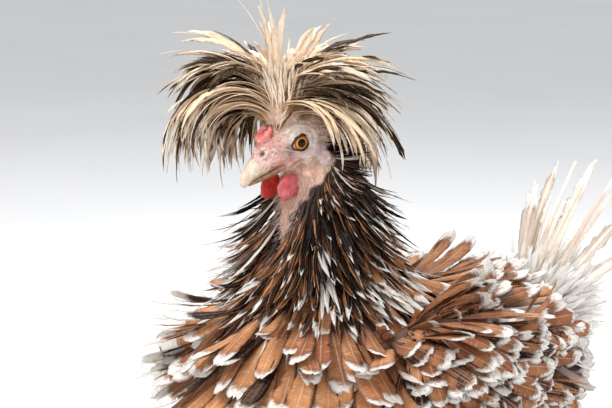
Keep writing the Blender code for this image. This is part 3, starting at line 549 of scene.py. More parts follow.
def tinted_finish(name, roughness, mottle, pore, depth, specular=0.4, flesh=0.0):
    """Skin or horn in the colours of its Tint, mottled, with pores or grain.

    mottle and pore are the sizes of both, and depth is how deep they lie, in mm. flesh is how
    much light passes on through it.
    """
    made, r, shader = principled(name, roughness, specular)
    tint = r.mark("Tint").outputs["Color"]
    place = r.place()
    broad = r.noise(place, 1 / (mottle * MM), 3.0, 0.6)
    fine = r.noise(place, 1 / (pore * MM), 2.0)
    pores = r.cells(place, 1 / (pore * MM))
    darker = r.scaled(tint, (0.72, 0.52, 0.48))
    colour = r.mix(r.times(r.step(broad, 0.62, 0.34), 0.6), tint, darker)
    lighter = r.scaled(colour, (1.35, 1.3, 1.25))
    colour = r.mix(r.step(fine, 0.5, 0.7), colour, lighter)
    feed(r.tree, shader.inputs["Base Color"], colour)
    if flesh:
        shader.inputs["Subsurface Weight"].default_value = flesh
        shader.inputs["Subsurface Radius"].default_value = (1.0, 0.35, 0.25)
        shader.inputs["Subsurface Scale"].default_value = 1.5 * MM
    relief(r, shader, r.add(r.times(broad, 0.6), r.times(pores, 0.8)), 0.7, depth)
    return made


SKIN_FINISH = tinted_finish("face_skin", 0.55, 4.0, 1.2, 0.5, flesh=0.12)
COMB_FINISH = tinted_finish("comb_skin", 0.38, 3.0, 0.8, 0.30, flesh=0.15)
HORN_FINISH = tinted_finish("bill_horn", 0.36, 5.0, 0.7, 0.10)
QUILL_FINISH = tinted_finish("tail_quill", 0.34, 22.0, 0.8, 0.06)
SCALE_FINISH = tinted_finish("leg_scales", 0.45, 3.5, 0.9, 0.12)


# Feathers


# A kind of feather: its outline as shares of the length and of the width, how many stations and
# which columns the vane has, how far its barbs sweep onward, how uneven, how often split and how
# ragged at the tip they are, how far the vane bows down, and its thickness in mm
Kind = namedtuple("Kind", "outline stations columns sweep fray splits ragged bow thick")
FIVE = (-1, -0.5, 0, 0.5, 1)
SEVEN = (-1, -0.66, -0.33, 0, 0.33, 0.66, 1)
BROAD = Kind(((0, 0.12), (0.2, 0.42), (0.45, 0.76), (0.68, 0.98), (0.84, 1), (0.94, 0.8),
              (1, 0.34)), 17, SEVEN, 0.5, 0.05, 0.012, 0.025, 0.12, 0.5)
NARROW = Kind(((0, 0.35), (0.3, 0.95), (0.55, 1), (0.8, 0.7), (1, 0.08)),
              14, FIVE, 0.6, 0.18, 0.12, 0.06, 0.15, 0.5)
ARCH = Kind(((0, 0.25), (0.25, 0.55), (0.5, 0.9), (0.78, 1), (0.92, 0.72), (1, 0.2)),
            18, FIVE, 1.0, 0.28, 0.2, 0.12, 0.12, 0.5)
FLUFF = Kind(((0, 0.3), (0.3, 0.95), (0.6, 1), (0.85, 0.75), (1, 0.2)),
             13, FIVE, 0.7, 0.16, 0.1, 0.06, 0.1, 0.4)
RAGGED = Kind(((0, 0.3), (0.2, 0.6), (0.5, 1), (0.85, 0.9), (1, 0.2)),
              22, SEVEN, 1.1, 0.25, 0.12, 0.04, 0.1, 0.4)
HAIR = Kind(((0, 1), (0.6, 0.8), (1, 0.1)), 6, (-1, 0, 1), 0.0, 0.1, 0.0, 0.0, 0.0, 0.25)


def tract(rng, root, along, rise, patch, start, end, length, width, tone, tip, dark, pale,
          bend=7, twist=14, stray=5):
    """A set of feathers. Each measure is a mean and a spread for all, or for each feather.

    A feather leaves its root along one direction and rises from it along another, by start
    degrees there and by end degrees at its tip. bend and twist are spreads of its curve to the
    side and of its roll, and stray is the spread of its turn about the rise, all in degrees.
    """
    count = len(root)
    rise = np.broadcast_to(rise, root.shape)
    along = turned(along, rise, rng.normal(0, stray, count))

    def drawn(pair):
        """A value for each feather, evenly spread about the mean."""
        mean, spread = pair
        return np.broadcast_to(mean, count) + rng.uniform(-1, 1, count) * spread

    return {
        "root": root, "along": along, "rise": rise, "patch": patch,
        "start": np.radians(drawn(start)), "end": np.radians(drawn(end)),
        "length": drawn(length), "width": drawn(width),
        "bend": np.radians(rng.normal(0, bend, count)),
        "twist": np.radians(rng.normal(0, twist, count)),
        "marks": np.stack((drawn(tone), drawn(tip), drawn(dark)), -1),
        "pale": np.clip(drawn(pale), 0, 1),
    }


def on_map(u, v, margin=0.05):
    """Each feather's place on its piece's bake map, inside a margin all round."""
    return np.stack(np.broadcast_arrays(u, v), -1) * (1 - 2 * margin) + margin


def together(tracts):
    """Several sets of feathers as one."""
    return {key: np.concatenate([t[key] for t in tracts]) for key in tracts[0]}


def chosen(feathers, keep):
    """The feathers of a set for which keep is true."""
    return {key: values[keep] for key, values in feathers.items()}


def vanes(feathers, kind, rng):
    """Every point of every feather, as (feather, station, corner of the ring, 3), and s and u.

    At share s the lift is start + (end - start)·s, and the shaft has run along by
    (sin lift - sin start) and up by (cos start - cos lift), over end - start and times the
    length. A barb reaches u·width/2 to the side and sweep times as far onward.
    """
    columns = np.array(kind.columns)
    last = len(columns) - 1
    corner = np.r_[0:last + 1, last - 1:0:-1]
    face = np.r_[0, np.ones(last - 1), 0, -np.ones(last - 1)]
    u = columns[corner]
    s = 1 - np.linspace(1, 0, kind.stations)[None, :, None] ** 1.25
    count = len(feathers["root"])
    measures = ("start", "end", "length", "width", "bend", "twist")
    one = {key: feathers[key][:, None, None] for key in measures}
    edge = 1 + kind.fray * rng.uniform(-1, 1, (count, kind.stations, 2))
    edge[rng.random(edge.shape) < kind.splits] *= 0.6
    edge = np.where(u < 0, edge[..., :1], edge[..., 1:])
    edge = 1 + (edge - 1) * np.abs(u) ** 2
    shape = np.array(kind.outline).T
    aside = u * np.interp(s, *shape) * edge * one["width"] / 2
    tips = kind.ragged * rng.uniform(-1, 1, (count, 1, last + 1))[..., corner]
    swept = kind.sweep * np.abs(aside) / one["length"] * (1 - 0.5 * s)
    along_by = s + swept + tips * smooth(0.5, 1, s)
    span = one["end"] - one["start"]
    span = np.where(np.abs(span) < 0.02, 0.02, span)
    lift = one["start"] + span * along_by
    ran = (np.sin(lift) - np.sin(one["start"])) / span * one["length"]
    climbed = (np.cos(one["start"]) - np.cos(lift)) / span * one["length"]
    along, rise = feathers["along"][:, None, None, :], feathers["rise"][:, None, None, :]
    side = np.cross(along, rise)
    flat = rise * np.cos(lift)[..., None] - along * np.sin(lift)[..., None]
    roll = (one["twist"] * along_by)[..., None]
    across = side * np.cos(roll) + flat * np.sin(roll)
    over = flat * np.cos(roll) - side * np.sin(roll)
    ripple = rng.normal(0, 0.012, (count, kind.stations, 2))
    ripple = np.where(u < 0, ripple[..., :1], ripple[..., 1:]) * np.abs(u)
    bow = one["width"] * (ripple - kind.bow * np.abs(u) ** 1.6 / 2 * np.interp(s, *shape))
    thick = face * kind.thick / 2 * (1 - 0.5 * s) * (1 - 0.4 * np.abs(u))
    aside = aside + np.sin(one["bend"]) * one["length"] * along_by**2 * 0.5
    points = (
        feathers["root"][:, None, None, :] + along * ran[..., None] + rise * climbed[..., None]
        + across * aside[..., None] + over * (bow + thick)[..., None]
    )
    return points, s, u


def vane_faces(kind):
    """Quads and end triangles of one feather: a ring at each station, closed at both ends."""
    last = len(kind.columns) - 1
    ring = 2 * last
    index = np.arange(kind.stations * ring).reshape(kind.stations, ring)
    after = np.roll(index, -1, axis=1)
    quads = [np.stack([index[:-1], after[:-1], after[1:], index[1:]], -1).reshape(-1, 4)]
    ends = []
    for row, way in ((0, 1), ((kind.stations - 1) * ring, -1)):
        top = np.arange(last + 1)
        under = np.r_[0, np.arange(ring - 1, last, -1), last]
        inner = np.stack([top[2:-1], top[1:-2], under[1:-2], under[2:-1]], -1)
        quads.append((row + inner)[:, ::way])
        tips = np.array(((1, 0, ring - 1), (last, last - 1, last + 1)))
        ends.append((row + tips)[:, ::way])
    return np.concatenate(quads), np.concatenate(ends)


# How wide one feather's place on the bake map is, as a share of the map
BAKE_PATCH = 0.003


def feather_piece(name, feathers, kind, rng, finish, slot, *nodes):
    """One piece of many feathers, with their Vane and bake maps and their marks."""
    points, s, u = vanes(feathers, kind, rng)
    count, stations, ring = points.shape[:3]
    across, along = np.broadcast_arrays((u + 1) / 2, s)
    vane = np.broadcast_to(np.stack((across, along), -1), (count, stations, ring, 2))
    bake = feathers["patch"][:, None, None, :] + (vane - 0.5) * BAKE_PATCH
    quads, ends = vane_faces(kind)
    each = stations * ring
    start = (np.arange(count) * each)[:, None, None]
    marks = np.repeat(feathers["marks"], each, axis=0)
    pale = np.repeat(feathers["pale"], each)
    piece = mesh_object(
        name, points.reshape(-1, 3), (start + quads).reshape(-1, 4), (start + ends).reshape(-1, 3),
        finish, (("Vane", vane.reshape(-1, 2)), ("OFBake", bake.reshape(-1, 2))),
        (("Marks", marks), ("Pale", pale)),
    )
    worn(piece, slot, *nodes)


def tinted_piece(name, shape, tint, finish, slot, *nodes):
    """One piece of skin or horn, with its Tint by point."""
    piece = mesh_object(name, *shape, finish, (), (("Tint", tint),))
    worn(piece, slot, *nodes)


def worn(piece, slot, *nodes):
    """The piece rides on the hen and stands for the nodes. slot is not used."""
    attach(piece, "root")
    if nodes:
        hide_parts(*nodes)


# The hen's flesh, from the same sizes as the solids


def trunk_tube(grow=0.0):
    """The egg of the trunk, from the breast to the head of the tail."""
    rows = np.array((
        (0.002, 16.5, 0.12, 0.14, 0.14), (0.03, 16, 0.42, 0.50, 0.50), (0.13, 15, 0.78, 0.88, 0.86),
        (0.29, 11, 0.98, 1, 1), (0.47, 7, 1, 1, 1.05), (0.65, 7, 0.93, 0.92, 1),
        (0.82, 14, 0.74, 0.74, 0.80), (0.95, 25, 0.46, 0.48, 0.52),
    ))
    centres = np.stack((0 * rows[:, 0], -138 + 250 * rows[:, 0], 158 + rows[:, 1]), -1)
    return Tube(centres, rows[:, 2:] * (78, 60, 62), UP, grow)


def neck_tube(grow=0.0):
    """The neck, from its foot in the trunk up into the head: rows of height, y and radius."""
    rows = np.array(((192, -58, 56), (216, -66, 48), (240, -72, 38), (264, -75, 30), (286, -77, 24),
                     (304, -79, 19)))
    centres = np.stack((0 * rows[:, 0], rows[:, 1], rows[:, 0]), -1)
    return Tube(centres, np.repeat(rows[:, 2:], 3, axis=1), AHEAD, grow)


def head_tube():
    """The head from the nape to the foot of the bill, in the head's own frame."""
    rows = np.array((
        (-27, 0, 9, 9, 11), (-20, 1, 15, 14.5, 18), (-9, 2, 17, 16.5, 20), (1, 1, 15.2, 14.5, 17.5),
        (9, -1.5, 11.8, 11.5, 13), (16, -3, 8.4, 8.6, 9), (20, -3.5, 5.6, 5.6, 5.2),
    ))
    return Tube(head_point(rows[:, 0], 0, rows[:, 1]), rows[:, 2:], HEAD_UP)


def wing_tube(grow=0.0):
    """The folded left wing; the right one is its mirror."""
    rows = np.array((
        (70, -80, 192, 5, 9, 9), (77, -66, 190, 8, 20, 20), (83, -36, 185, 9, 28, 28),
        (81, -4, 181, 9, 28, 28), (73, 28, 180, 8, 23, 23), (61, 54, 182, 6, 14, 14),
    ))
    return Tube(rows[:, :3], rows[:, 3:], UP, grow)


def tail_tube(grow=0.0):
    """The tail's fleshy foot behind the trunk."""
    rows = np.array(((84, 178, 26, 20, 20), (106, 186, 25, 20, 19), (124, 194, 19, 16, 15),
                     (136, 200, 10, 9, 9)))
    return Tube(np.stack((0 * rows[:, 0], rows[:, 0], rows[:, 1]), -1), rows[:, 2:], UP, grow)


HIP = np.array((50.0, -16.0, 130.0))
HOCK = np.array((38.0, 16.0, 84.0))


def thigh_tube(grow=0.0):
    """The left drumstick, tapering from the hip to the hock."""
    rows = np.array(((0, 28, 30, 30), (0.35, 24, 27, 27), (0.7, 14, 16, 16), (0.96, 8, 8.5, 8.5)))
    return Tube(HIP + rows[:, :1] * (HOCK - HIP), rows[:, 1:], AHEAD, grow)


TRUNK, NECK, WING, TAIL, THIGH = trunk_tube(), neck_tube(), wing_tube(), tail_tube(), thigh_tube()
MIRROR = np.array((-1.0, 1.0, 1.0))


def mirrored(shape):
    """The shape's mirror image on her other side, its faces turned to point outwards."""
    points, quads, ends = shape
    return points * MIRROR, quads[:, ::-1], ends[:, ::-1]


# Heights between which the skin's faces get finer, and how much finer they are on the head
FINE_FROM, FINE_TO, FINENESS = 232.0, 282.0, 2.3
HEIGHTS = np.linspace(-20, 460, 961)
STRETCH = 1 + (FINENESS - 1) * smooth(FINE_FROM, FINE_TO, HEIGHTS)
STRETCHED = np.concatenate([[0], np.cumsum((STRETCH[1:] + STRETCH[:-1]) / 4)])
NECK_AXIS = np.array((0.0, -84.0))


def enlarged(points):
    """Heights run on by the stretch, and each level widens from the neck's axis by it."""
    z = points[:, 2]
    level = (points[:, :2] - NECK_AXIS) * np.interp(z, HEIGHTS, STRETCH)[:, None] + NECK_AXIS
    return np.column_stack((level, np.interp(z, HEIGHTS, STRETCHED)))


def reduced(points):
    """Undoes `enlarged`."""
    z = np.interp(points[:, 2], STRETCHED, HEIGHTS)
    level = (points[:, :2] - NECK_AXIS) / np.interp(z, HEIGHTS, STRETCH)[:, None] + NECK_AXIS
    return np.column_stack((level, z))


def eye_ring(points):
    """Distance from the eyes' axis, and how far forward of it, out from the middle and above it."""
    forward, out, up = head_place(points)
    return np.hypot(forward, up), forward, np.abs(out), up


def face_tint(points):
    """The bare skin's colours: each is laid over the last by how near a point is to its place.

    Some of them are painted shade, before the eyes and in the mouth's crease, and one is partly
    painted light, under the head.
    """
    ring, forward, out, up = eye_ring(points)
    fine, broad = lumps(points, 5, 31), lumps(points, 14, 32)
    beside = out > 4
    throat = smooth(-3, -14, up) * smooth(8, -8, forward) + 0.2 * fine
    round_eye = smooth(14.5, 10, ring + 1.4 * fine) * beside * 0.9
    # Painted shade: a dark brown patch on the skin in front of each eye
    shade_before_eye = smooth(6, 2, np.hypot(forward - 8.5, up + 1.5)) * beside * 0.85
    cheek = smooth(8, 3, np.hypot(forward + 11, (up + 15) * 0.8)) * beside
    lips = smooth(4.2, 1.2, np.abs(up + 8.4)) * smooth(2, 8, forward) * (0.7 + 0.4 * fine)
    comb_foot = smooth(10, 5, np.hypot(forward - 17, up - 7)) * (0.8 + 0.3 * fine)
    # Painted shade: a dark line in the crease of the mouth
    mouth_crease_shade = smooth(1.5, 0.5, np.abs(up + 11.2)) * smooth(1, 5, forward) * 0.8
    muzzle = smooth(8, 12, forward) * smooth(-3, 1, up) * (0.8 + 0.3 * broad)
    # Below the head the skin is pinker and lighter: partly its own colour, partly painted light
    # against the shade under the head
    below = smooth(306, 298, points[:, 2]) * (0.85 + 0.3 * fine)
    tint = np.broadcast_to((0.77, 0.58, 0.49), points.shape)
    for colour, share in (
        ((0.62, 0.47, 0.33), throat), ((0.84, 0.77, 0.73), round_eye),
        ((0.34, 0.23, 0.19), shade_before_eye), ((0.60, 0.53, 0.63), cheek),
        ((0.80, 0.40, 0.38), lips), ((0.84, 0.38, 0.36), comb_foot),
        ((0.32, 0.22, 0.13), mouth_crease_shade), ((0.80, 0.52, 0.47), muzzle),
        ((0.95, 0.64, 0.53), below),
    ):
        tint = laid(tint, colour, share)
    return tint * (0.88, 0.85, 0.83)


def down_tint(points):
    """The down under the feathers: brown, dark on the neck, buff on the scalp, white at the rump."""
    _, y, z = points.T
    tint = np.broadcast_to((0.12, 0.055, 0.03), points.shape)
    tint = laid(tint, (0.035, 0.022, 0.018), smooth(218, 240, z))
    tint = laid(tint, (0.42, 0.30, 0.22), smooth(312, 322, z))
    return laid(tint, (0.72, 0.68, 0.64), smooth(72, 100, y + 4 * lumps(points, 30, 33)))


def beyond_face(points):
    """How many degrees round the neck a point lies beyond the edge of the bare skin."""
    x, y, z = points.T
    round_neck = np.degrees(np.abs(np.arctan2(x, -(y + 76))))
    limit = np.interp(z, (256, 264, 272, 280, 290, 300, 308, 330), (0, 6, 14, 24, 44, 72, 102, 138))
    return round_neck - limit + 6 * lumps(points, 9, 34)


def bare_face(points):
    """1 on the bare skin of the face and throat, and 0 under the feathers."""
    forward, _, up = head_place(points)
    top = smooth(12, 9, up) + smooth(-9, -4, forward)
    return smooth(6, -6, beyond_face(points)) * np.clip(top, 0, 1)


def build_skin():
    """One skin over head, neck, trunk, wings, tail and thighs: its points and its normals.

    Round the eyes it has folds, a sine wave of the distance from the eye's axis, and each
    socket is pressed in where that distance is small. The throat's folds run down it.
    """
    wing, thigh = wing_tube(-1).mesh(40, 32), thigh_tube(-1).mesh(24, 32)
    shapes = [
        trunk_tube(-1).mesh(60, 56), neck_tube(-1).mesh(40, 48), head_tube().mesh(40, 48),
        wing, tail_tube(-1).mesh(20, 32), thigh, mirrored(wing), mirrored(thigh),
    ]
    places = [(KNOB, KNOB_RADII - 1.5), ((2, 0, -13), (7, 11, 7)), ((15.5, 0, 4.5), (7, 6.5, 6.5))]
    for hand, _ in HANDS:
        places += [
            ((0, hand * 11.5, 0), (6.2, 7.4, 7.0)), ((-7, hand * 11.2, -12), (6.2, 11, 9)),
            ((7, hand * 8.8, -11.4), (3.2, 7.5, 2.8)),
        ]
    shapes += [ball(head_point(*place), radii, HEAD_AXES) for place, radii in places]
    points, quads = fused(shapes, 1.75, 5, (enlarged, reduced))
    normals = point_normals(points, quads)
    ring, forward, out, up = eye_ring(points)
    height = points[:, 2]
    beside = (out > 6) & (height > 285)
    on_head = smooth(286, 300, height)
    folds = 0.28 * np.sin(ring * 1.9 + 1.2 * lumps(points, 9, 35))
    folds = folds * smooth(18, 9, ring) * smooth(5.5, 7.5, ring)
    folds = folds + 0.35 * lumps(points, 4.5, 36) * smooth(8, 12, ring)
    folds = folds + 0.5 * smooth(1.6, 0, np.abs(ring - 10.6)) * (forward < 3)
    throat = 0.5 * np.sin(points[:, 0] * 1.5 + 2 * lumps(points, 14, 37)) * smooth(300, 288, height)
    throat = throat * smooth(250, 262, height) * (points[:, 1] < -84)
    points = points + normals * (folds * on_head + throat)[:, None]
    opening = np.maximum(ring * (1 + 0.08 * (forward < 0)), up * 5.4 / LID_TOP)
    depth = 5.5 * smooth(5.7, 4.9, opening) * beside
    points = points - np.sign(points[:, :1]) * LEFT * depth[:, None]
    tint = laid(down_tint(points), face_tint(points), bare_face(points))
    nodes = [kind + word for kind in ("wing_", "thigh_") for _, word in HANDS]
    tinted_piece("skin", (points, quads, NO_ENDS), tint, SKIN_FINISH, "face_skin",
                 "head", "neck", "torso", "crest", "tail", *nodes)
    return points, normals


# Plumage, tract by tract


def on_skin(places, skin):
    """The skin's nearest point to each place and its normal there, and how far off that is."""
    points, normals = skin
    nearest = np.array([np.argmin(((points - place) ** 2).sum(axis=1)) for place in places])
    root = points[nearest]
    return root, normals[nearest], np.linalg.norm(root - places, axis=1)


def crest_root(polar, toward):
    """The knob's point at an angle off upright and a bearing, a little under its surface."""
    theta = np.radians(polar)[:, None]
    out = UP * np.cos(theta) + bearing(toward) * np.sin(theta)
    reach = 1 / np.linalg.norm(out @ HEAD_AXES.T / KNOB_RADII, axis=-1)
    return head_point(*KNOB) + out * (reach - 2.0)[:, None]


# The crest's feathers by how far off upright they are rooted, in degrees: how far off upright
# they leave the knob and end, and their length in mm. The parting is a bearing.
CREST_POLAR = (10, 28, 48, 68, 88)
CREST_START = (8, 28, 42, 56, 70)
CREST_END = (50, 86, 112, 148, 172)
CREST_LENGTH = (28, 46, 66, 70, 68)
PARTING = 35.0


def centre_lines(feathers, shares):
    """The shafts' points at these shares of their length, as (feather, share, 3)."""
    start, span = feathers["start"][:, None], (feathers["end"] - feathers["start"])[:, None]
    lift = start + span * shares
    ran = (np.sin(lift) - np.sin(start)) / span * feathers["length"][:, None]
    climbed = (np.cos(start) - np.cos(lift)) / span * feathers["length"][:, None]
    along, rise = feathers["along"][:, None], feathers["rise"][:, None]
    return feathers["root"][:, None] + along * ran[..., None] + rise * climbed[..., None]


def clear_of_face(feathers):
    """The feathers that don't hang down beside or in front of the face.

    On her left they also leave it open from ahead: below the brow they stay 34 mm round the head.
    """
    lines = centre_lines(feathers, np.linspace(0.25, 1, 9))
    forward, out, up = head_place(lines)
    over = (forward > -24) & (np.abs(out) < 36) & (up < 14.5)
    round_head = (lines - EYES_MID) @ bearing(142)
    brow = np.interp(round_head, (-12, -7, 6, 21, 30, 34), (322, 325, 332, 334, 328, 300))
    beside = (round_head < 34) & (out > 4) & (lines[..., 2] < brow)
    return chosen(feathers, ~(over | beside).any(axis=1))


def either_side(rng, turn):
    """About half of the turns, picked at random, mirrored to the head's other side."""
    return np.where(rng.random(len(turn)) < 0.5, turn, math.pi - turn)


def crest_feathers(rng):
    """A fountain of feathers that rise from the knob and fall over on both sides of a parting.

    A root that lies d degrees round from the parting sends its feather off gap + (1 - gap/180)·d
    from it, so none of them falls over the face. The ones rooted near the parting start upright.
    """
    tracts = []
    for polar in np.linspace(8, 122, 23):
        count = int(8 + 38 * math.sin(math.radians(polar)))
        toward = spaced(rng, count) + rng.uniform(-6, 6, count)
        tilt = polar + rng.uniform(-4, 4, count)
        root = crest_root(tilt, toward)
        forward, _, up = head_place(root)
        on_crest = (forward < 10.5) & (up > np.interp(forward, (-14, 2, 9), (9, 14, 13)))
        on_crest &= rng.random(count) < 0.35 + 0.65 * smooth(14, 46, tilt)
        # Three neighbours share most of their wander, so that they hang together as a lock
        lock = rng.normal(0, 1, (5, count))[:, np.arange(count) // 3 * 3][:, on_crest]
        root, toward, tilt = root[on_crest], toward[on_crest], tilt[on_crest]
        if not len(root):
            continue
        round_by = (toward - PARTING + 180) % 360 - 180
        left = round_by > 0
        gap = np.where(left, 76, 62) * smooth(2, 34, tilt)
        way = PARTING + np.sign(round_by) * (gap + (1 - gap / 180) * np.abs(round_by))
        way = way + 10 * lock[0] + rng.normal(0, 4, len(way))
        near_parting = smooth(115, 35, np.abs(round_by))
        low_left = smooth(40, 72, tilt) * left
        upright = 0.48 * near_parting * (1 - low_left)
        off_vertical = np.interp(tilt, CREST_POLAR, CREST_START) * (1 - upright)
        right_side = smooth(60, 10, np.abs(round_by + 110)) * smooth(50, 90, tilt)
        left_side = left * smooth(30, 70, tilt)
        streak = 0.35 * lumps(root, 14, 81) + 0.2 * lock[1]
        black = streak > 0.2 - 0.2 * smooth(45, 85, tilt)
        fine = rng.random(len(way)) < 0.45
        tracts.append(tract(
            rng, root, bearing(way), UP, on_map(toward / 360 % 1, tilt / 125),
            start=(90 - off_vertical - 12 * right_side - 6 * low_left + 6 * lock[2], 4),
            end=(90 - np.interp(tilt, CREST_POLAR, CREST_END) - 6 * left_side + 12 * lock[3], 6),
            length=(np.interp(tilt, CREST_POLAR, CREST_LENGTH) * (0.95 + 0.1 * lock[4]), 6),
            width=(np.where(fine, 2.8, 5.2), 1.0), tone=(0.25, 0.35), tip=(0.95, 0.2),
            dark=(np.where(black, 0.95, 0.12), 0.14), pale=(np.where(black, -0.2, 0.2), 0.2),
            bend=8, twist=40, stray=3,
        ))
    # Tall plumes stand up along the parting, and short bare quills at their foot
    for count, length, width, spread, polars in (
        (8, 54, 4.6, 60, (6, 40)), (90, 24, 1.6, 80, (34, 108)),
    ):
        toward = PARTING + rng.uniform(-1, 1, count) * spread
        root = crest_root(rng.uniform(*polars, count), toward)
        forward, _, up = head_place(root)
        kept = (forward < 11) & (up > 13)
        root, toward = root[kept], toward[kept]
        tracts.append(tract(
            rng, root, bearing(toward + rng.uniform(-40, 40, len(toward))), UP,
            on_map(toward / 360 % 1, 0.98), start=(84, 7), end=(66, 18),
            length=(length, length * 0.2), width=(width, width * 0.2),
            tone=(0.15, 0.15), tip=(0.6, 0.3), dark=(0.12, 0.12), pale=(0.7, 0.3),
        ))
    # Thin strands hang beyond the bill on her right
    count = 34
    toward = PARTING - rng.uniform(50, 120, count)
    root = crest_root(rng.uniform(70, 100, count), toward)
    tracts.append(tract(
        rng, root, bearing(PARTING - 62 - 0.5 * (PARTING - toward)), UP,
        on_map(toward / 360 % 1, 0.97), start=(34, 12), end=(-88, 6), length=(84, 12),
        width=(2.4, 0.7), tone=(0.3, 0.35), tip=(0.95, 0.2),
        dark=(np.where(rng.random(count) < 0.55, 0.95, 0.1), 0.1), pale=(-0.1, 0.2), bend=8, twist=30,
    ))
    # The brow: strands rise along both lower edges of the knob and arch back beside the head
    count = 170
    hand = np.where(rng.random(count) < 0.6, 1, -1)
    toward = rng.uniform(-5, 150, count)
    root = crest_root(rng.uniform(84, 116, count), hand * toward)
    black = rng.random(count) < 0.55
    tracts.append(tract(
        rng, root, bearing(hand * (140 + rng.normal(0, 9, count))), UP,
        on_map(hand * toward / 360 % 1, 0.95), start=(np.interp(toward, (0, 150), (50, 16)), 8),
        end=(-64, 14), length=(56, 9), width=(3.8, 1.2),
        tone=(0.3, 0.35), tip=(0.95, 0.2), dark=(np.where(black, 0.95, 0.15), 0.1),
        pale=(np.where(black, -0.2, 0.15), 0.2), twist=30, stray=4,
    ))
    # Short feathers lie back along the top of the head under them
    count = 90
    t, turn = rng.uniform(0.08, 0.72, count), rng.uniform(0.33, 0.44, count) * math.pi
    turn = either_side(rng, turn)
    root, normal = head_tube().surface(t, turn)
    black = rng.random(count) < 0.7
    brow = tract(
        rng, root - normal, over_surface(0.25 * HEAD_UP - FORWARD, normal), normal,
        on_map(turn / 7 + 0.3, 0.99, 0), start=(20, 8), end=(4, 12), length=(24, 6),
        width=(2.4, 0.8), tone=(0.3, 0.35), tip=(0.95, 0.2), dark=(np.where(black, 0.95, 0.1), 0.12),
        pale=(np.where(black, -0.2, 0.15), 0.15), stray=9,
    )
    return together([clear_of_face(together(tracts)), brow])


def neck_at(height):
    """The share of the neck's length at a height, and its radius there."""
    heights = NECK.centres[:, 2]
    share = (height - heights[0]) / (heights[-1] - heights[0])
    return share, np.interp(height, heights, NECK.sizes[:, 0])


def hackle_feathers(rng):
    """Narrow neck feathers in rows, lying down the neck and curling away from it.

    signed is each one's bearing, from -180 to 180. A row leaves out those over the bare skin.
    """
    tracts = []
    for height in np.arange(312, 238, -4.6):
        t, radius = neck_at(height)
        count = int(2 * math.pi * radius / 4.5)
        bare = np.interp(height, (260, 268, 276, 284, 294, 304, 312), (0, 8, 16, 27, 50, 80, 104))
        signed = spaced(rng, count) - 180 + rng.uniform(-5, 5, count)
        signed = signed[np.abs(signed - 6) > bare + rng.uniform(-5, 5, len(signed))]
        number = len(signed)
        shares = np.clip(t + rng.uniform(-0.02, 0.02, number), 0, 1)
        root, normal = NECK.surface(shares, np.radians(90 - signed))
        out = bearing(signed)
        behind = smooth(60, 120, np.abs(signed))
        black = smooth(226, 262, height) * (0.55 + 0.45 * smooth(20, 70, np.abs(signed)))
        her_right = smooth(-10, -40, signed) * smooth(-140, -100, signed) * smooth(290, 266, height)
        hem = behind * smooth(284, 262, height)
        white_one = rng.random(number) < np.where(height < 262, 0.16, 0.07) + 0.1 * her_right
        tip = np.where(white_one, 0.45, np.where(height < 256, 0.9, 1.0))
        tip = tip - 0.26 * her_right - 0.12 * hem
        tracts.append(tract(
            rng, root - out * 1.5, over_surface(-UP, normal), normal,
            on_map(signed / 360 + 0.5, t, 0.03),
            start=(20 - 6 * hem, 7), end=(56 - 16 * behind - 12 * hem, 16),
            length=(np.interp(height, (244, 300), (50, 52)) - 5 * behind - 6 * hem, 8),
            width=(np.interp(height, (244, 300), (5.8, 4.1)) + 3 * hem, 1.2),
            tone=(0.45, 0.45), tip=(tip, 0.16), dark=(0.27 + 0.5 * black * (1 - 0.85 * hem), 0.22),
            pale=(np.where(white_one, 0.8, -0.1), 0.1), bend=9, twist=36, stray=9,
        ))
    # The nape: small dark feathers from under the crest to the top of the hackle
    count = 150
    t, turn = rng.uniform(0.0, 0.1, count), rng.uniform(-0.4 * math.pi, 1.4 * math.pi, count)
    root, normal = head_tube().surface(t, turn)
    tracts.append(tract(
        rng, root - normal * 1.5, over_surface(-UP * 0.8 - FORWARD * 0.6, normal), normal,
        on_map(turn / 7 + 0.3, 0.98, 0.03), start=(16, 8), end=(34, 14), length=(24, 6),
        width=(3.6, 0.8), tone=(0.4, 0.4), tip=(1.0, 0.2), dark=(0.8, 0.2), pale=(-0.1, 0.05),
        twist=25,
    ))
    return together(tracts)


def ruff_feathers(rng, skin):
    """Small dark feathers from the skin itself, along the edge of its bare part."""
    points, normals = skin
    beyond = beyond_face(points)
    near = (beyond > -3) & (beyond < 24) & (points[:, 2] > 250) & (points[:, 2] < 326)
    forward, _, up = head_place(points)
    near &= (up < 12) & (forward < 3)
    picked = rng.choice(np.flatnonzero(near), 620, replace=False)
    root, normal = points[picked], normals[picked]
    height = root[:, 2]
    way = -UP - 0.5 * smooth(290, 310, height)[:, None] * FORWARD
    white_one = rng.random(len(root)) < 0.16
    return tract(
        rng, root - normal * 1.2, over_surface(way, normal), normal,
        on_map(beyond[picked] / 60 + 0.3, (height - 240) / 100), start=(22, 9), end=(44, 16),
        length=(np.interp(height, (256, 316), (26, 19)), 6), width=(2.4, 0.7),
        tone=(0.4, 0.45), tip=(1.25, 0.1), dark=(np.where(white_one, 0.1, 0.76), 0.2),
        pale=(np.where(white_one, 0.8, -0.1), 0.1), twist=30, stray=14,
    )


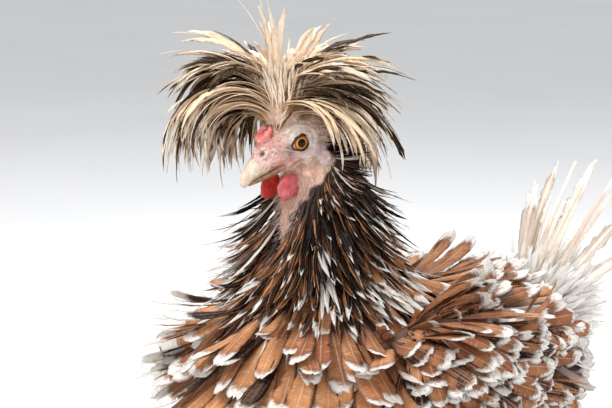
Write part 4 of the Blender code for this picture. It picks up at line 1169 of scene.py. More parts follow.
def cape_feathers(rng, skin):
    """Broader feathers in body colours round the foot of the neck."""
    tracts = []
    for height in (246, 236, 226, 215, 203):
        t, radius = neck_at(height)
        count = int(2 * math.pi * radius / 10)
        signed = spaced(rng, count) - 180 + rng.uniform(-6, 6, count)
        t = t + rng.uniform(-0.03, 0.03, count)
        root, normal, _ = on_skin(NECK.surface(t, np.radians(90 - signed))[0], skin)
        behind = smooth(70, 130, np.abs(signed))
        # Large plain ones lie over her left shoulder, and white-tipped ones stand off on her right
        shoulder = smooth(20, 50, signed) * smooth(140, 110, signed) * smooth(240, 226, height)
        her_right = smooth(20, -20, signed) * smooth(-130, -80, signed)
        black = rng.random(count) < 0.3 - 0.12 * behind - 0.26 * shoulder
        tracts.append(tract(
            rng, root - normal * 2, over_surface(-UP, normal), normal,
            on_map(signed / 360 + 0.5, t, 0.03), start=(16 - 6 * shoulder + 6 * her_right, 6),
            end=(36 - 8 * behind - 12 * shoulder + 10 * her_right, 10),
            length=(np.interp(height, (203, 246), (64, 54)) + 6 * her_right, 7),
            width=(np.interp(height, (203, 246), (12.5, 8.5)) + 4.5 * shoulder, 2),
            tone=(0.4 + 0.5 * shoulder, 0.4), tip=(0.88 - 0.1 * her_right, 0.08),
            dark=(np.where(black, 0.85, 0.32), 0.14), pale=(-0.03, 0.06), twist=18, stray=9,
        ))
    return together(tracts)


def trunk_marks(root, rng):
    """Tone, tip, dark and pale of body feathers, by where on the hen they grow."""
    x, y, z = root.T
    count = len(root)
    breast = smooth(-60, -105, y)
    back = smooth(188, 205, z) * smooth(-70, -30, y)
    rump = np.maximum(smooth(62, 96, y), smooth(36, 66, y) * smooth(160, 185, z))
    her_right = smooth(8, -30, x) * smooth(-40, -90, y)
    tone = 0.66 - 0.4 * breast + rng.uniform(-0.42, 0.42, count)
    tip = 0.91 + 0.045 * smooth(-10, 40, y) - 0.09 * her_right - 0.03 * back - 0.3 * rump
    tip = tip + rng.uniform(-0.05, 0.06, count)
    dark = 0.32 - 0.2 * breast + rng.uniform(-0.12, 0.12, count)
    pale = 0.85 * rump + 0.7 * back * (rng.random(count) < 0.22)
    return tone, tip, dark, pale


def trunk_feathers(rng, skin):
    """Broad body feathers in rows round the trunk, lying away from the neck and curling out."""
    tracts = []
    for y in np.r_[np.arange(-137, -50, 10.5), np.arange(-50, 104, 15.0)]:
        t = np.interp(y, TRUNK.centres[:, 1], TRUNK.times)
        width = float(np.interp(t, TRUNK.times, TRUNK.sizes[:, 0]))
        count = max(9, int(2 * math.pi * width / np.interp(y, (-100, -50), (11.5, 12.5))))
        turn = spaced(rng, count, 2 * math.pi) + rng.uniform(-0.06, 0.06, count)
        place, _ = TRUNK.surface(t + rng.uniform(-0.012, 0.012, count), turn)
        covered = NECK.holds(place, 2, 0.92) | TAIL.holds(place, 1, 0.9)
        for hand, _ in HANDS:
            covered |= THIGH.holds(place * (hand, 1, 1), 2, 0.9)
        root, normal, away = on_skin(place, skin)
        covered |= away > 9
        root, normal, turn = root[~covered], normal[~covered], turn[~covered]
        high = root[:, 2]
        tone, tip, dark, pale = trunk_marks(root, rng)
        length = np.interp(y, (-132, -92, -40, 16, 66, 100), (56, 62, 60, 54, 47, 38))
        toward = np.degrees(np.arctan2(root[:, 0], -(root[:, 1] + 50)))
        hanging = smooth(-5, 20, toward) * smooth(-30, -70, y)
        aside = smooth(-20, -50, toward) * smooth(-130, -90, toward)
        over_tail = smooth(46, 84, y) * smooth(178, 196, high)
        on_back = smooth(-10, 20, y) * smooth(180, 200, high)
        level = smooth(0.3, 0.85, normal[:, 2]) * smooth(-15, -40, y)
        along = over_surface(unit(root - NECK_BASE) - 0.9 * smooth(-30, -70, y) * UP, normal)
        # Her right breast's feathers curl round towards the front, as far as her bearing of 52
        curled = 0.6 * smooth(5, -35, toward) * smooth(-118, -80, toward) * smooth(-20, -60, y)
        facing = over_surface(normal + curled[:, None] * bearing(52), along)
        start = np.interp(y, (-132, -92, 16, 100), (24, 24, 18, 18))
        start = start - 10 * hanging - 9 * over_tail - 8 * level + 5 * aside
        end = np.interp(y, (-132, -92, 16, 100), (42, 44, 38, 42))
        end = end - 16 * hanging - 22 * over_tail - 40 * level + 3 * aside - 9 * on_back
        tracts.append(tract(
            rng, root - normal * 2, along, facing,
            on_map(turn / (2 * math.pi) % 1, (y + 140) / 250, 0.03), (start, 6), (end, 8),
            length=(length * (1 - 0.16 * over_tail + 0.12 * aside), 6),
            width=(np.interp(y, (-100, -40), (18, 15)), 3), tone=(tone, 0), tip=(tip, 0),
            dark=(dark, 0), pale=(pale, 0), twist=12, stray=10 - 5 * smooth(-20, 20, y),
        ))
    return together(tracts)


def underdown(rng, skin):
    """Short dark fluff close to the body, seen between the feathers, denser on the shoulders."""
    points, normals = skin
    x, y, z = points.T
    body = np.flatnonzero((z > 84) & (z < 214) & (y < 92))
    shoulder = (np.abs(x) > 66) & (y > -82) & (y < -44) & (z > 188) & (z < 216)
    loose, tight = 780, 190
    picked = np.r_[rng.choice(body, loose, replace=False),
                   rng.choice(np.flatnonzero(shoulder), tight, replace=False)]
    root, normal = points[picked], normals[picked]
    close = np.arange(loose + tight) >= loose
    return tract(
        rng, root - normal * 1.5, over_surface(unit(root - NECK_BASE) - 0.4 * UP, normal), normal,
        on_map(root[:, 0] / 220 + 0.5, (root[:, 1] + 140) / 260, 0.03),
        start=(np.where(close, 14, 10), 5), end=(4, 8), length=(np.where(close, 15, 22), 4),
        width=(np.where(close, 7.5, 10), 2.5), tone=(0.75, 0.3), tip=(1.2, 0.2),
        dark=(np.where(close, 0.25, 0.4), 0.2), pale=(0.0, 0.03), twist=20, stray=14,
    )


def on_hand(feathers, hand):
    """The left side's feathers as they are, or their mirror image for her right side."""
    if hand < 0:
        for key in ("root", "along", "rise"):
            feathers[key] = feathers[key] * MIRROR
    return feathers


def sloping(degrees):
    """The direction to the rear and so many degrees down."""
    slope = np.radians(degrees)
    return np.stack((0 * slope, np.cos(slope), -np.sin(slope)), -1)


def wing_feathers(rng, hand):
    """Coverts in rows over the folded wing, longer and narrower at its rear."""
    tracts = []
    for y in np.arange(-74, 52, 15.0):
        centre = np.interp(y, WING.centres[:, 1], WING.centres[:, 2])
        half = np.interp(y, WING.centres[:, 1], WING.sizes[:, 1])
        heights = np.arange(centre - half * 0.95 + rng.uniform(0, 4), centre + half * 0.98, 9.0)
        count = len(heights)
        z = heights + rng.uniform(-2, 2, count)
        t = np.interp(y + rng.uniform(-3, 3, count), WING.centres[:, 1], WING.times)
        turn = np.arcsin(np.clip((z - centre) / half, -0.97, 0.97))
        root, normal = WING.surface(t, turn)
        out = unit(normal + (0.35, 0, 0))
        slope = np.interp(y, (-64, 42), (40, 22)) + (178 - z) * 0.3 + rng.uniform(-9, 9, count)
        rear = smooth(10, 45, y)
        tracts.append(tract(
            rng, root - out * 2, over_surface(sloping(slope), out), out,
            on_map(t.mean(), (z - 140) / 90), start=(11, 5), end=(25 - 8 * rear, 8),
            length=(50 + 8 * rear, 6), width=(13 - 1.5 * rear, 2), tone=(0.85, 0.35),
            tip=(0.955, 0.05), dark=(0.44, 0.2), pale=(0.0, 0.05), twist=12, stray=8,
        ))
    return on_hand(together(tracts), hand)


def shoulder_feathers(rng, skin):
    """Large feathers from the skin between the neck and each wing.

    Beside the neck they lie out over the wing's shoulder, on its front they hang down, and
    further back they lie along it.
    """
    points, normals = skin
    x, y, z = points.T
    here = (np.abs(x) > 30) & (y > -92) & (y < -18) & (z > 182)
    here &= (np.hypot(x, y - NECK_BASE[1]) > 54) & (normals[:, 2] > -0.15)
    picked = rng.choice(np.flatnonzero(here), 380, replace=False)
    root, normal = points[picked], normals[picked]
    x, y, z = root.T
    low = rng.random(len(root)) < 0.45
    ahead = smooth(0.0, -0.5, normal[:, 1])
    over = smooth(84, 74, np.abs(x)) * smooth(-34, -50, y) * smooth(190, 198, z)
    slope = np.interp(y, (-88, -30), (1.3, 0.35)) * (1 - 0.7 * over) + 1.5 * ahead * (1 - over)
    outward = (0.35 + 1.7 * over) * np.sign(x)
    away = np.stack((outward, (1 - ahead) * (1 - 0.5 * over), 0 * x), -1)
    level = smooth(0.3, 0.9, normal[:, 2])
    return tract(
        rng, root - normal * 2, over_surface(away - slope[:, None] * UP, normal), normal,
        on_map(x / 220 + 0.5, (y + 100) / 250, 0.03), start=(np.where(low, 8, 20 - 6 * level), 5),
        end=(np.where(low, 4, 20 - 26 * level) - 30 * over, 8), length=(np.where(low, 36, 54), 7),
        width=(14, 2.5), tone=(0.75, 0.5), tip=(0.925, 0.04), dark=(0.34, 0.16), pale=(-0.02, 0.05),
        twist=12, stray=10,
    )


def thigh_feathers(rng, hand):
    """Feathers round the drumstick, lying down towards the hock."""
    tracts = []
    for t in np.linspace(0.12, 0.85, 8):
        radius = np.interp(t, (0, 0.35, 0.7, 1), (30, 27, 16, 8.5))
        count = max(9, int(2 * math.pi * radius / 9))
        turn = spaced(rng, count, 2 * math.pi)
        root, normal = THIGH.surface(np.full(count, t), turn)
        inside = TRUNK.holds(root, 1, 0.93)
        root, normal, turn = root[~inside], normal[~inside], turn[~inside]
        if not len(root):
            continue
        tracts.append(tract(
            rng, root - normal * 1.5, over_surface(unit(HOCK - HIP), normal), normal,
            on_map(turn / (2 * math.pi), t), start=(10, 4), end=(40, 10), length=(32 - 8 * t, 4),
            width=(11, 1.5), tone=(0.4, 0.3), tip=(0.8, 0.1), dark=(0.18, 0.12), pale=(0.1, 0.15),
        ))
    return on_hand(together(tracts), hand)


# Each pair of tail feathers: degrees above level and apart, and length in mm
TAIL_PAIRS = ((73, 5, 72), (69, 13, 84), (65, 4, 100), (60, 14, 98), (54, 6, 96), (46, 15, 88),
              (39, 7, 78), (33, 17, 66))
TAIL_ROOT = np.array((0.0, 113.0, 195.0))


def tail_feathers(rng):
    """The fan of main tail feathers, each a bare stout quill with what is left of its vane."""
    rows = []
    for pair, (climb, splay, length) in enumerate(TAIL_PAIRS):
        for hand, _ in HANDS:
            rows.append((climb, splay, length, hand, 4 - pair))
    climb, splay, length, hand, row = np.array(rows, float).T
    height = np.radians(climb + rng.uniform(-2, 2, len(climb)))[:, None]
    along = unit(bearing(180 - hand * 2.2 * splay) * np.cos(height) + UP * np.sin(height))
    root = TAIL_ROOT + np.stack((hand * (2.5 + 0.55 * splay), -2.4 * row, row), -1)
    count = len(root)
    return tract(
        rng, root, along, over_surface(-AHEAD, along), on_map(np.arange(count) / count, 0.5),
        start=(-3, 0), end=(9, 4), length=(length + 2, 3), width=(12.5, 2), tone=(0.6, 0.4),
        tip=(0.9, 0.15), dark=(0.25, 0.2), pale=(0.2, 0.3), bend=2, twist=4,
    )


def rump_feathers(rng):
    """White fluff round the foot of the tail."""
    axis = unit(np.array((0.0, 0.85, 0.53)))
    tracts = []
    for t in np.linspace(0.06, 0.95, 10):
        radius = np.interp(t, (0, 0.4, 0.75, 1), (26, 25, 19, 10))
        count = int(2 * math.pi * radius / 2.8)
        turn = spaced(rng, count, 2 * math.pi)
        root, normal = TAIL.surface(t + rng.uniform(-0.05, 0.05, count), turn)
        tracts.append(tract(
            rng, root - normal * 2, over_surface(axis, normal), normal,
            on_map(turn / (2 * math.pi), t), start=(18, 12), end=(50, 20), length=(38 - 8 * t, 9),
            width=(4.8, 1.6), tone=(0.15, 0.15), tip=(0.4, 0.3), dark=(0.0, 0.02), pale=(1.0, 0.1),
            twist=34, stray=20,
        ))
    return together(tracts)


def quills(feathers):
    """The tail's shafts: rods that follow each feather's line and taper to a blunt end."""
    s = np.linspace(0, 0.97, 16)
    radius = np.interp(s, (0, 0.3, 1), (2.3, 2.1, 1.2))
    sizes = np.stack((radius, radius * 0.8, radius * 0.8), -1)
    aside = np.cross(feathers["along"], feathers["rise"])
    curve = (np.sin(feathers["bend"]) * feathers["length"])[:, None] * s**2 * 0.5
    paths = centre_lines(feathers, s) + aside[:, None] * curve[..., None]
    tubes = [Tube(path, sizes, rise) for path, rise in zip(paths, feathers["rise"])]
    return joined([tube.mesh(20, 10) for tube in tubes])


def build_tail():
    """The tail's quills, the vanes that one in three has kept, and the fluff round its foot."""
    rng = np.random.default_rng(41)
    feathers = tail_feathers(rng)
    shafts = quills(feathers)
    grain = lumps(shafts[0] * (1, 1, 0.2), 6, 42)[:, None]
    tint = np.array((0.90, 0.84, 0.73)) + grain * (0.03, 0.04, 0.05)
    tinted_piece("tail_quills", shafts, tint, QUILL_FINISH, "white_feather", "tail")
    vaned = chosen(feathers, np.arange(len(feathers["root"])) % 3 == 1)
    white = WHITE_FINISH, "white_feather", "tail"
    feather_piece("tail_vanes", vaned, RAGGED, rng, *white)
    feather_piece("rump_fluff", rump_feathers(rng), FLUFF, rng, *white)


def build_plumage(skin):
    """Every tract of feathers, each piece in its finish and for its part of the hen."""
    rng = np.random.default_rng(7)
    crest = crest_feathers(rng)
    away = crest["along"] @ bearing(PARTING + 90)
    for name, side in (("crest_left", away > 0), ("crest_right", away <= 0)):
        feather_piece(name, chosen(crest, side), ARCH, rng, CREST_FINISH, "cream_feather", "crest")
    neck = HACKLE_FINISH, "dark_feather", "neck"
    feather_piece("hackles", hackle_feathers(rng), NARROW, rng, *neck)
    feather_piece("ruff", ruff_feathers(rng, skin), NARROW, rng, *neck)
    body = trunk_feathers(rng, skin)
    front = body["root"][:, 1] < -50
    cape = cape_feathers(rng, skin)
    feather_piece("cape", cape, BROAD, rng, BODY_FINISH, "dark_feather", "neck")
    buff = BODY_FINISH, "buff_feather", "torso"
    feather_piece("breast_feathers", chosen(body, front), BROAD, rng, *buff)
    feather_piece("back_feathers", chosen(body, ~front), BROAD, rng, *buff)
    feather_piece("shoulder_feathers", shoulder_feathers(rng, skin), BROAD, rng, *buff)
    feather_piece("underdown", underdown(rng, skin), FLUFF, rng, *buff)
    for hand, word in HANDS:
        coverts = wing_feathers(rng, hand)
        feather_piece("coverts_" + word, coverts, BROAD, rng, BODY_FINISH, "brown_feather",
                      "wing_" + word)
        breeches = thigh_feathers(rng, hand)
        feather_piece("breeches_" + word, breeches, FLUFF, rng, BODY_FINISH, "buff_feather",
                      "thigh_" + word)
    build_tail()


# The bare parts of the head


def build_eyes():
    """Each eye: a wet ball with a dark pupil in an orange iris, and the dark rims of its lids.

    Gaze is how many degrees a point lies off the eye's own axis, and the ball swells towards it.
    """
    finish, r, shader = principled("eye", 0.25, 0.06)
    gaze = r.mark("Gaze").outputs["Fac"]
    rays = r.noise(r.place(), 900.0, 3.0, 0.6)
    outer = r.step(r.add(gaze, r.times(rays, 6.0)), 26.0, 40.0)
    iris = r.mix(outer, (0.90, 0.34, 0.02, 1), (0.60, 0.13, 0.008, 1))
    inner = r.step(r.add(gaze, r.times(rays, 4.0)), 27.5, 23.5)
    iris = r.mix(inner, iris, (0.30, 0.05, 0.008, 1))
    iris = r.mix(r.step(gaze, 42.0, 47.0), iris, (0.03, 0.02, 0.02, 1))
    colour = r.mix(r.step(gaze, 23.0, 21.5), iris, (0.003, 0.003, 0.004, 1))
    feed(r.tree, shader.inputs["Base Color"], colour)
    shader.inputs["Coat Weight"].default_value = 0.4
    shader.inputs["Coat Roughness"].default_value = 0.03
    for hand, word in HANDS:
        look = unit(hand * LEFT + 0.24 * FORWARD + 0.04 * UP)
        aside = unit(np.cross(look, UP))
        centre = head_point(0, hand * EYE_OUT, 0)
        axes = np.stack((aside, np.cross(look, aside), look))
        points, quads, ends = ball(centre, (EYE_RADIUS,) * 3, axes, 48, 64)
        off = np.degrees(np.arccos(np.clip(unit(points - centre) @ look, -1, 1)))
        points = points + unit(points - centre) * (0.5 * smooth(46, 20, off))[:, None]
        eye = mesh_object("eyeball_" + word, points, quads, ends, finish, (), (("Gaze", off),))
        worn(eye, "eye", "eye_" + word)
        lids = eyelid(hand)
        tint = np.broadcast_to((0.04, 0.03, 0.03), lids[0].shape)
        tint = tint * (1 + 0.4 * lumps(lids[0], 2, 51))[:, None]
        tinted_piece("eyelids_" + word, lids, tint, SKIN_FINISH, "face_skin", "head")


def eyelid(hand):
    """The rim round the eye's opening: a thin roll, drawn out ahead of the eye and flat on top.

    Its middle line is at distance r(a) from the eye's axis, on the ball of the lids.
    """
    def hump(centre, width):
        """1 at an angle and falling away from it as a bell of this width."""
        return np.exp(-(((a - centre) / width) ** 2))

    a = np.linspace(0, 2 * math.pi, 72, endpoint=False)
    corner = hump(0, 0.5) + hump(2 * math.pi, 0.5)
    radius = 5.4 + 1.2 * corner + 0.4 * hump(math.pi, 0.6)
    radius = np.minimum(radius, LID_TOP / np.maximum(np.sin(a), 0.01))
    on_ball = np.sqrt(np.maximum(EYE_RADIUS**2 - (0.93 * radius) ** 2, 1))
    out = EYE_OUT + on_ball + 0.55 - 0.5 * corner
    ring = head_point(radius * np.cos(a), hand * out, radius * np.sin(a))
    thick = 0.62 + 0.3 * hump(1.2, 0.9) + 0.2 * corner
    away = unit(ring - head_point(0, hand * EYE_OUT, 0))
    onward = unit(np.roll(ring, -1, axis=0) - np.roll(ring, 1, axis=0))
    aside = np.cross(onward, away)
    turn = np.linspace(0, 2 * math.pi, 12, endpoint=False)[None, :, None]
    section = away[:, None] * np.cos(turn) * 0.8 + aside[:, None] * np.sin(turn)
    grid = ring[:, None] + thick[:, None, None] * section
    index = np.arange(grid.shape[0] * grid.shape[1]).reshape(grid.shape[:2])
    after, onto = np.roll(index, -1, axis=1), np.roll(index, -1, axis=0)
    quads = np.stack([index, onto, np.roll(onto, -1, axis=1), after], -1).reshape(-1, 4)
    return grid.reshape(-1, 3), quads, NO_ENDS


def bill_tube(rows, rings, sides):
    """A shell in the head's frame from rows of forward, height, half width, rise and drop."""
    rows = np.array(rows, float)
    tube = Tube(head_point(rows[:, 0], 0, rows[:, 1]), rows[:, 2:], HEAD_UP)
    return tube.mesh(rings, sides, (0.2, 0.8))


def build_bill():
    """Upper bill with raised nostrils and a hooked tip, and the lower bill under it. The nostril
    pits are darkened with painted shade.

    Below its cutting edge, which runs at height edge(f) along the bill, the upper one is pressed
    flat, so that the edge stands out over the lower bill.
    """
    shapes = [bill_tube((
        (10, -4.2, 9.4, 12.2, 6.0), (15, -4.4, 9.2, 12.7, 5.8), (21, -4.4, 7.9, 11.1, 5.4),
        (27, -4.9, 6.4, 9.1, 4.7), (33, -5.6, 5.0, 7.3, 3.8), (38.5, -6.7, 3.7, 5.2, 2.9),
        (42.0, -8.0, 2.3, 3.1, 2.7),
    ), 60, 44)]
    for hand, _ in HANDS:
        shapes.append(ball(head_point(22, hand * 3.8, 3.2), (4.0, 4.8, 4.0), HEAD_AXES))
    points, quads = fused(shapes, 0.45, 4)
    forward, out, up = head_place(points)
    edge = np.interp(forward, (10, 15, 27, 37, 40, 43), (-9.6, -9.0, -8.6, -8.7, -9.4, -11))
    points = points + np.maximum(edge - up, 0)[:, None] * 0.7 * HEAD_UP
    up = head_place(points)[2]
    normals = point_normals(points, quads)
    pit = ((forward - 24.2) / 3.1) ** 2 + ((up - 4.6) / 2.5) ** 2 + ((np.abs(out) - 5.2) / 2.8) ** 2
    hole = smooth(1.3, 0.6, np.sqrt(pit))
    points = points - normals * (3.0 * hole)[:, None]
    ridges = 0.10 * np.sin(forward * 3.2 + 1.5 * lumps(points, 6, 52))
    ridges = ridges + 0.36 * lumps(points, 3.2, 53)
    points = points + normals * (ridges * smooth(36, 24, forward))[:, None]
    # Flesh at the foot of the bill, horn at its tip
    border = forward + 1.4 * lumps(points, 5, 54) + 0.25 * np.abs(out) - 0.35 * (up + 4)
    fleshy = smooth(31, 25, border)
    streak = lumps(points * (1.0, 0.3, 0.3), 3.5, 55)[:, None]
    horn = np.array((0.78, 0.67, 0.53)) + streak * (0.06, 0.08, 0.09)
    flesh = np.array((0.84, 0.60, 0.56)) + lumps(points, 4, 56)[:, None] * (0.05, 0.15, 0.14)
    flesh = flesh * (1 - 0.45 * smooth(0.1, 0.8, -lumps(points, 3.2, 53)))[:, None]
    # Painted shade: dark brown on the flesh of the bill's foot in front of the eye
    lore_shade = 0.6 * smooth(6, 2, np.hypot(forward - 12.5, up + 1.0)) * (np.abs(out) > 5)
    tint = laid(horn, laid(flesh, (0.40, 0.28, 0.22), lore_shade), fleshy)
    rose = smooth(25, 18, forward) * smooth(1, -4, up) * (0.7 + 0.4 * lumps(points, 5, 49))
    tint = laid(tint, (0.82, 0.40, 0.38), np.clip(rose, 0, 1) * fleshy)
    # Painted shade darkens the nostril pits
    tint = tint * (1 - np.array((0.78, 0.86, 0.86)) * smooth(0.05, 0.9, hole)[:, None])
    # A brown line along the cutting edge, and painted shade on the horn under it
    above_edge = up - edge
    brown = smooth(3.2, 1.6, above_edge + 0.8 * lumps(points, 5, 50)) * smooth(0.5, 1.3, above_edge)
    tint = laid(tint, (0.40, 0.26, 0.15), 0.55 * brown * smooth(41, 36, forward))
    under = smooth(0.9, -0.3, above_edge) * smooth(41, 37, forward)
    tint = laid(tint, (0.27, 0.17, 0.09), under)
    shape = points, quads, NO_ENDS
    tinted_piece("bill_top", shape, tint, HORN_FINISH, "bill_horn", "bill_upper")
    shape = bill_tube((
        (8, -10.6, 8.4, 1.8, 4.8), (13, -10.5, 8.3, 1.8, 4.7), (20, -10.3, 6.8, 1.8, 3.9),
        (27, -10.1, 5.3, 1.7, 3.1), (33, -10.0, 3.9, 1.5, 2.3), (37.5, -10.0, 2.4, 1.1, 1.4),
    ), 50, 36)
    # The lower bill is dark brown: partly its own horn colour, partly painted shade under the upper
    # bill
    tint = np.array((0.33, 0.22, 0.12)) + lumps(shape[0], 4, 57)[:, None] * (0.08, 0.08, 0.06)
    tint = laid(tint, (0.56, 0.33, 0.25), smooth(20, 15, head_place(shape[0])[0]))
    tinted_piece("bill_under", shape, tint, HORN_FINISH, "bill_horn", "bill_lower")


def build_red_flesh():
    """The V comb, the wattles and the earlobes: fused bulbs with a pebbled surface."""
    shapes = [ball(head_point(15.5, 0, 10.3), (5.6, 5.4, 2.8), HEAD_AXES)]
    for hand, _ in HANDS:
        for forward, out, up, size in (
            (17, 3.0, 11.4, 2.5), (13.5, 3.6, 12.8, 2.6), (11, 3.2, 14.2, 2.0),
        ):
            centre = head_point(forward, hand * out, up)
            shapes.append(ball(centre, (size, size, size * 0.9), HEAD_AXES))
    colours = (0.78, 0.13, 0.14), (0.84, 0.38, 0.34)
    flesh_piece("v_comb", shapes, 0.4, 0.3, colours, "comb_skin", "comb")
    # As her head turns, the left lobe hangs a little further back than the right one, and in light.
    # Their colours differ as painted light: the left one a paler, duskier pink-red, the right one a
    # deeper red.
    wattle_colours_by_light = {
        "left": ((0.60, 0.07, 0.085), (0.66, 0.20, 0.22)),
        "right": ((0.55, 0.022, 0.018), (0.62, 0.06, 0.04)),
    }
    for hand, word in HANDS:
        centre = np.array((hand * 7.0, -106.5 + hand * 1.8, 290.2))
        shapes = [
            ball(centre, (3.0, 7.7 + hand * 0.6, 7.4)),
            ball(centre + (hand * 0.6, -1.6, -3.0), (2.9, 5.0, 4.6)),
            ball(centre + (-hand * 0.8, 2.4, 4.4), (2.6, 5.6 + hand * 0.8, 4.8)),
        ]
        flesh_piece("wattle_" + word + "_lobe", shapes, 0.5, 0.12, wattle_colours_by_light[word],
                    "comb_skin", "wattle_" + word)
        centre = head_point(-10.5, hand * 17.2, -17.5)
        lobe = [ball(centre + (-hand * 0.8, 0, 0), (2.2, 5.2, 6.0), HEAD_AXES)]
        colours = (0.66, 0.50, 0.48), (0.72, 0.60, 0.62)
        flesh_piece("earlobe_" + word, lobe, 0.5, 0.35, colours, "earlobe_skin", "ear_" + word,
                    cup=centre + np.array((hand * 2.4, 0, 1)))


def flesh_piece(name, shapes, voxel, bumps, colours, slot, node, cup=None):
    """Bulbs fused into one, pebbled by two fields of lumps, with a hollow about the cup's place.

    A broad and a fine field blend its deep colour into its light one.
    """
    points, quads = fused(shapes, voxel, 4)
    normals = point_normals(points, quads)
    pebbles = bumps * lumps(points, 2.6, 58) + bumps * lumps(points, 6, 59)
    points = points + normals * pebbles[:, None]
    if cup is not None:
        near = np.linalg.norm((points - cup) / (2.6, 2.8, 3.8), axis=1)
        points = points - normals * (0.6 * smooth(1.2, 0.5, near))[:, None]
    share = 0.5 + 0.5 * lumps(points, 7, 60) + 0.2 * lumps(points, 2.5, 61)
    tint = laid(np.array(colours[0]), colours[1], share)
    tinted_piece(name, (points, quads, NO_ENDS), tint, COMB_FINISH, slot, node)


def build_fuzz():
    """Hair-like feathers: sparse bristles on the face and short fuzz down the bare throat."""
    rng = np.random.default_rng(61)
    count = 1500
    t, turn = rng.uniform(0.08, 0.9, count), rng.uniform(-0.5 * math.pi, 0.5 * math.pi, count)
    turn = either_side(rng, turn)
    root, normal = head_tube().surface(t, turn)
    ring, forward, _, up = eye_ring(root)
    root = root + np.sign(root[:, :1]) * LEFT * np.interp(ring, (6, 12), (1.5, 0.3))[:, None]
    back = over_surface(-FORWARD * 0.8 - 0.5 * UP, normal)
    rear = smooth(-8, -18, forward)
    keep = (ring > 8) & ((rng.random(count) < 0.25 + 0.75 * rear) | (up < -8)) & (up < 11)
    bristles = chosen(tract(
        rng, root, back, normal, on_map(turn / 7 + 0.3, t), start=(14, 8), end=(30, 14),
        length=(4.5 + 3.5 * rear, 1.5), width=(0.5, 0.12), tone=(0.3 + 0.3 * rear, 0.3),
        tip=(1.2, 0.1), dark=(0.1 + 0.6 * rear * (up > 2), 0.15), pale=(0.3, 0.3),
    ), keep)
    t, signed = rng.uniform(0.5, 0.98, count), rng.uniform(-75, 75, count)
    root, normal = NECK.surface(t, np.radians(90 - signed))
    keep = np.abs(signed) < np.interp(root[:, 2], (256, 268, 284, 300), (8, 22, 34, 62))
    fuzz = chosen(tract(
        rng, root - normal * 0.6, over_surface(-UP, normal), normal, on_map(signed / 200 + 0.5, t),
        start=(28, 14), end=(60, 20), length=(4.5, 1.5), width=(0.45, 0.15),
        tone=(0.35, 0.3), tip=(1.1, 0.2), dark=(0.12, 0.12), pale=(0.3, 0.3),
    ), keep)
    feathers = together([bristles, fuzz])
    feather_piece("face_fuzz", feathers, HAIR, rng, FUZZ_FINISH, "face_skin", "head")


# Legs and feet

ANKLE_Y = -8.0
STANCE_HALF = 38.0
SHANK_RADIUS = 5.3
TOE_RADIUS = 4.0
# Each toe's bearing for the left foot, and its length in mm
TOES = {"inner": (-34, 43), "middle": (2, 56), "outer": (38, 44), "hind": (172, 22)}


def scales(t, turn, rows, columns, depth, front=math.pi / 2):
    """Overlapping plates: each swells towards its lower edge and dips at its seams.

    Columns of plates lie round the leg, every other one shifted by half a plate.
    """
    place = (turn - front) / (2 * math.pi) * columns
    column = np.floor(place + 0.5)
    run = t * rows + 0.5 * (column % 2)
    along, across = run % 1, 2 * np.abs(place - column)
    return depth * (np.minimum(1, 4 * along) * (1 - along**6) * (1 - across**6) - 0.6)


def scaled_limb(tube, rings, sides, rows, columns, depth, domes):
    """A limb's shell with its plates raised, and its tint: slate, paler where a plate is high."""
    turn = np.linspace(0, 2 * math.pi, sides, endpoint=False)[None, :]
    t, a = np.broadcast_arrays(np.linspace(0, 1, rings)[:, None], turn)
    plates = scales(t, a, rows, columns, depth)
    points, normals = tube.surface(t, a)
    grid = points + normals * plates[..., None]
    ahead = tube.directions(np.array((0.0, 1.0)))[0] * tube.sizes[[0, -1], 0][:, None]
    ahead = ahead * np.array(domes)[:, None]
    shape = shell(grid, tube.centres[0] - ahead[0], tube.centres[-1] + ahead[1])
    share = np.concatenate([smooth(-0.6 * depth, 0.35 * depth, plates).ravel(), [0.5, 0.5]])
    blotch = lumps(shape[0], 9, 71)[:, None]
    tint = laid(np.array((0.055, 0.062, 0.075)), (0.17, 0.20, 0.245), share)
    return shape, tint * (1 + 0.2 * blotch) + np.maximum(blotch, 0) * (0.03, 0.02, 0.01)


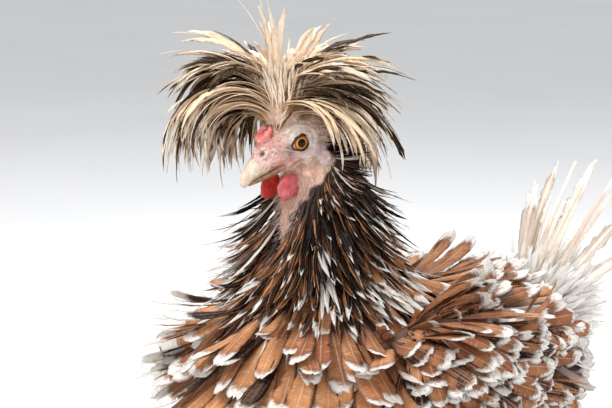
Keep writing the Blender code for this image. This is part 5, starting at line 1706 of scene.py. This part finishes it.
def build_leg(hand, word):
    """The scaly shank, four toes with their plates, and a curved claw on each toe.

    Shank and toes swell at their joints, by rows of a share of the length and a swelling. Below
    its flat each toe is pressed towards the floor.
    """
    top = np.array((hand * HOCK[0], HOCK[1], HOCK[2] + 4))
    foot = np.array((hand * STANCE_HALF, ANKLE_Y, 9.0))
    rows = np.array(((0, 1.25), (0.12, 1.3), (0.28, 0.98), (0.6, 0.9), (0.86, 0.98), (1, 1.2)))
    radius = rows[:, 1:] * SHANK_RADIUS
    shank = Tube(top + rows[:, :1] * (foot - top), radius * (0.86, 1, 1), AHEAD)
    shape, tint = scaled_limb(shank, 190, 60, 24, 6, 0.55, (0.4, 0.4))
    tinted_piece("shank_scales_" + word, shape, tint, SCALE_FINISH, "leg_scales", "shank_" + word)
    root = np.array((hand * STANCE_HALF, ANKLE_Y, 0))
    share, swell = np.array((
        (0, 1.25), (0.13, 1.15), (0.26, 0.98), (0.4, 1.12), (0.55, 0.92), (0.7, 1.04), (0.97, 0.8),
    )).T
    rise = 4.2 * (0.78 * swell + 0.9 * np.maximum(0, 0.3 - share)) + 0.25
    radii = swell[:, None] * TOE_RADIUS * np.array((0.95, 1, 0.95))
    hook = np.array((0, 0.2, 0.45, 0.75, 1.0))
    radius = np.interp(hook, (0, 0.5, 1), (2.3, 1.8, 0.45))
    claw_radii = np.stack((radius * 0.75, radius, radius * 0.8), -1)
    shapes, tints, claws = [], [], []
    for angle, length in TOES.values():
        along = bearing(hand * angle)
        tube = Tube(root + share[:, None] * length * along + rise[:, None] * UP, radii, UP)
        (points, quads, ends), tint = scaled_limb(
            tube, int(length * 2.4), 40, int(length / 2.9), 4, 0.4, (0.3, 0.6))
        sole, floor = points[:, 2] < 0.35, 0.02
        pressed = floor + np.maximum(points[:, 2] - floor, 0) * 0.5
        points[:, 2] = np.where(sole, pressed, points[:, 2])
        shapes.append((points, quads, ends))
        tints.append(tint)
        start = root + along * length * 0.9 + UP * 4.6
        path = start + along * 12 * hook[:, None] - UP * (3.2 * hook**2)[:, None]
        claws.append(Tube(path, claw_radii, UP).mesh(24, 16))
    tinted_piece("toes_" + word, joined(shapes), np.concatenate(tints), SCALE_FINISH,
                 "leg_scales", "foot_" + word)
    shape = joined(claws)
    tint = laid(np.array((0.13, 0.11, 0.10)), (0.36, 0.30, 0.24), smooth(3.2, 0.6, shape[0][:, 2]))
    tint = tint * (1 + 0.25 * lumps(shape[0], 3, 72))[:, None]
    tinted_piece("claws_" + word, shape, tint, HORN_FINISH, "claw_horn",
                 *["claw_%s_%s" % (word, toe) for toe in TOES])


# Floor, light and camera

# The camera's bearing and height in degrees, its lens in mm and its distance in metres
AZIMUTH, ELEVATION, LENS, DISTANCE = 52.0, 8.0, 160.0, 1.70
TARGET = np.array((21.3, -101.4, 281.7)) * MM + SHIFT


def aim(thing, azimuth, elevation, distance):
    """Puts a lamp or the camera at a bearing and a height in degrees, looking at the target."""
    slope = math.radians(elevation)
    away = bearing(azimuth) * math.cos(slope) + UP * math.sin(slope)
    thing.location = TARGET + away * distance
    thing.rotation_euler = Vector(-away).to_track_quat("-Z", "Y").to_euler()
    bpy.context.scene.collection.objects.link(thing)


def build_studio():
    """A pale floor, a soft sky, three lamps and the camera."""
    finish, r, shader = principled("studio_floor", 0.85, 0.2)
    shade = r.mix(r.noise(r.place(), 3.0, 3.0), (0.74, 0.74, 0.74, 1), (0.80, 0.80, 0.80, 1))
    feed(r.tree, shader.inputs["Base Color"], shade)
    side = 30.0
    corners = [(-side, -side, 0), (side, -side, 0), (side, side, 0), (-side, side, 0)]
    mesh = bpy.data.meshes.new("floor")
    mesh.from_pydata(corners, [], [(0, 1, 2, 3)])
    mesh.materials.append(finish)
    floor = bpy.data.objects.new("floor", mesh)
    bpy.context.scene.collection.objects.link(floor)
    world = bpy.data.worlds.new("studio")
    world.use_nodes = True
    sky = world.node_tree.nodes["Background"]
    sky.inputs["Color"].default_value = (0.97, 0.98, 1.0, 1)
    sky.inputs["Strength"].default_value = 0.75
    bpy.context.scene.world = world
    # Bearing, height in degrees, distance and size in metres, and watts
    for name, azimuth, elevation, distance, size, power in (
        ("key", 5, 52, 2.2, 1.5, 42),
        ("fill", 115, 25, 2.4, 1.6, 12),
        ("rim", 225, 50, 2.2, 1.2, 26),
    ):
        lamp = bpy.data.lights.new(name, "AREA")
        lamp.energy = power
        lamp.size = size
        aim(bpy.data.objects.new(name, lamp), azimuth, elevation, distance)
    camera = bpy.data.cameras.new("camera")
    camera.lens = LENS
    camera.clip_end = 60
    lens = bpy.data.objects.new("camera", camera)
    aim(lens, AZIMUTH, ELEVATION, DISTANCE)
    bpy.context.scene.camera = lens
    bpy.context.scene.view_settings.view_transform = "Standard"


build_plumage(build_skin())
build_eyes()
build_bill()
build_red_flesh()
build_fuzz()
for hand, word in HANDS:
    build_leg(hand, word)
build_studio()
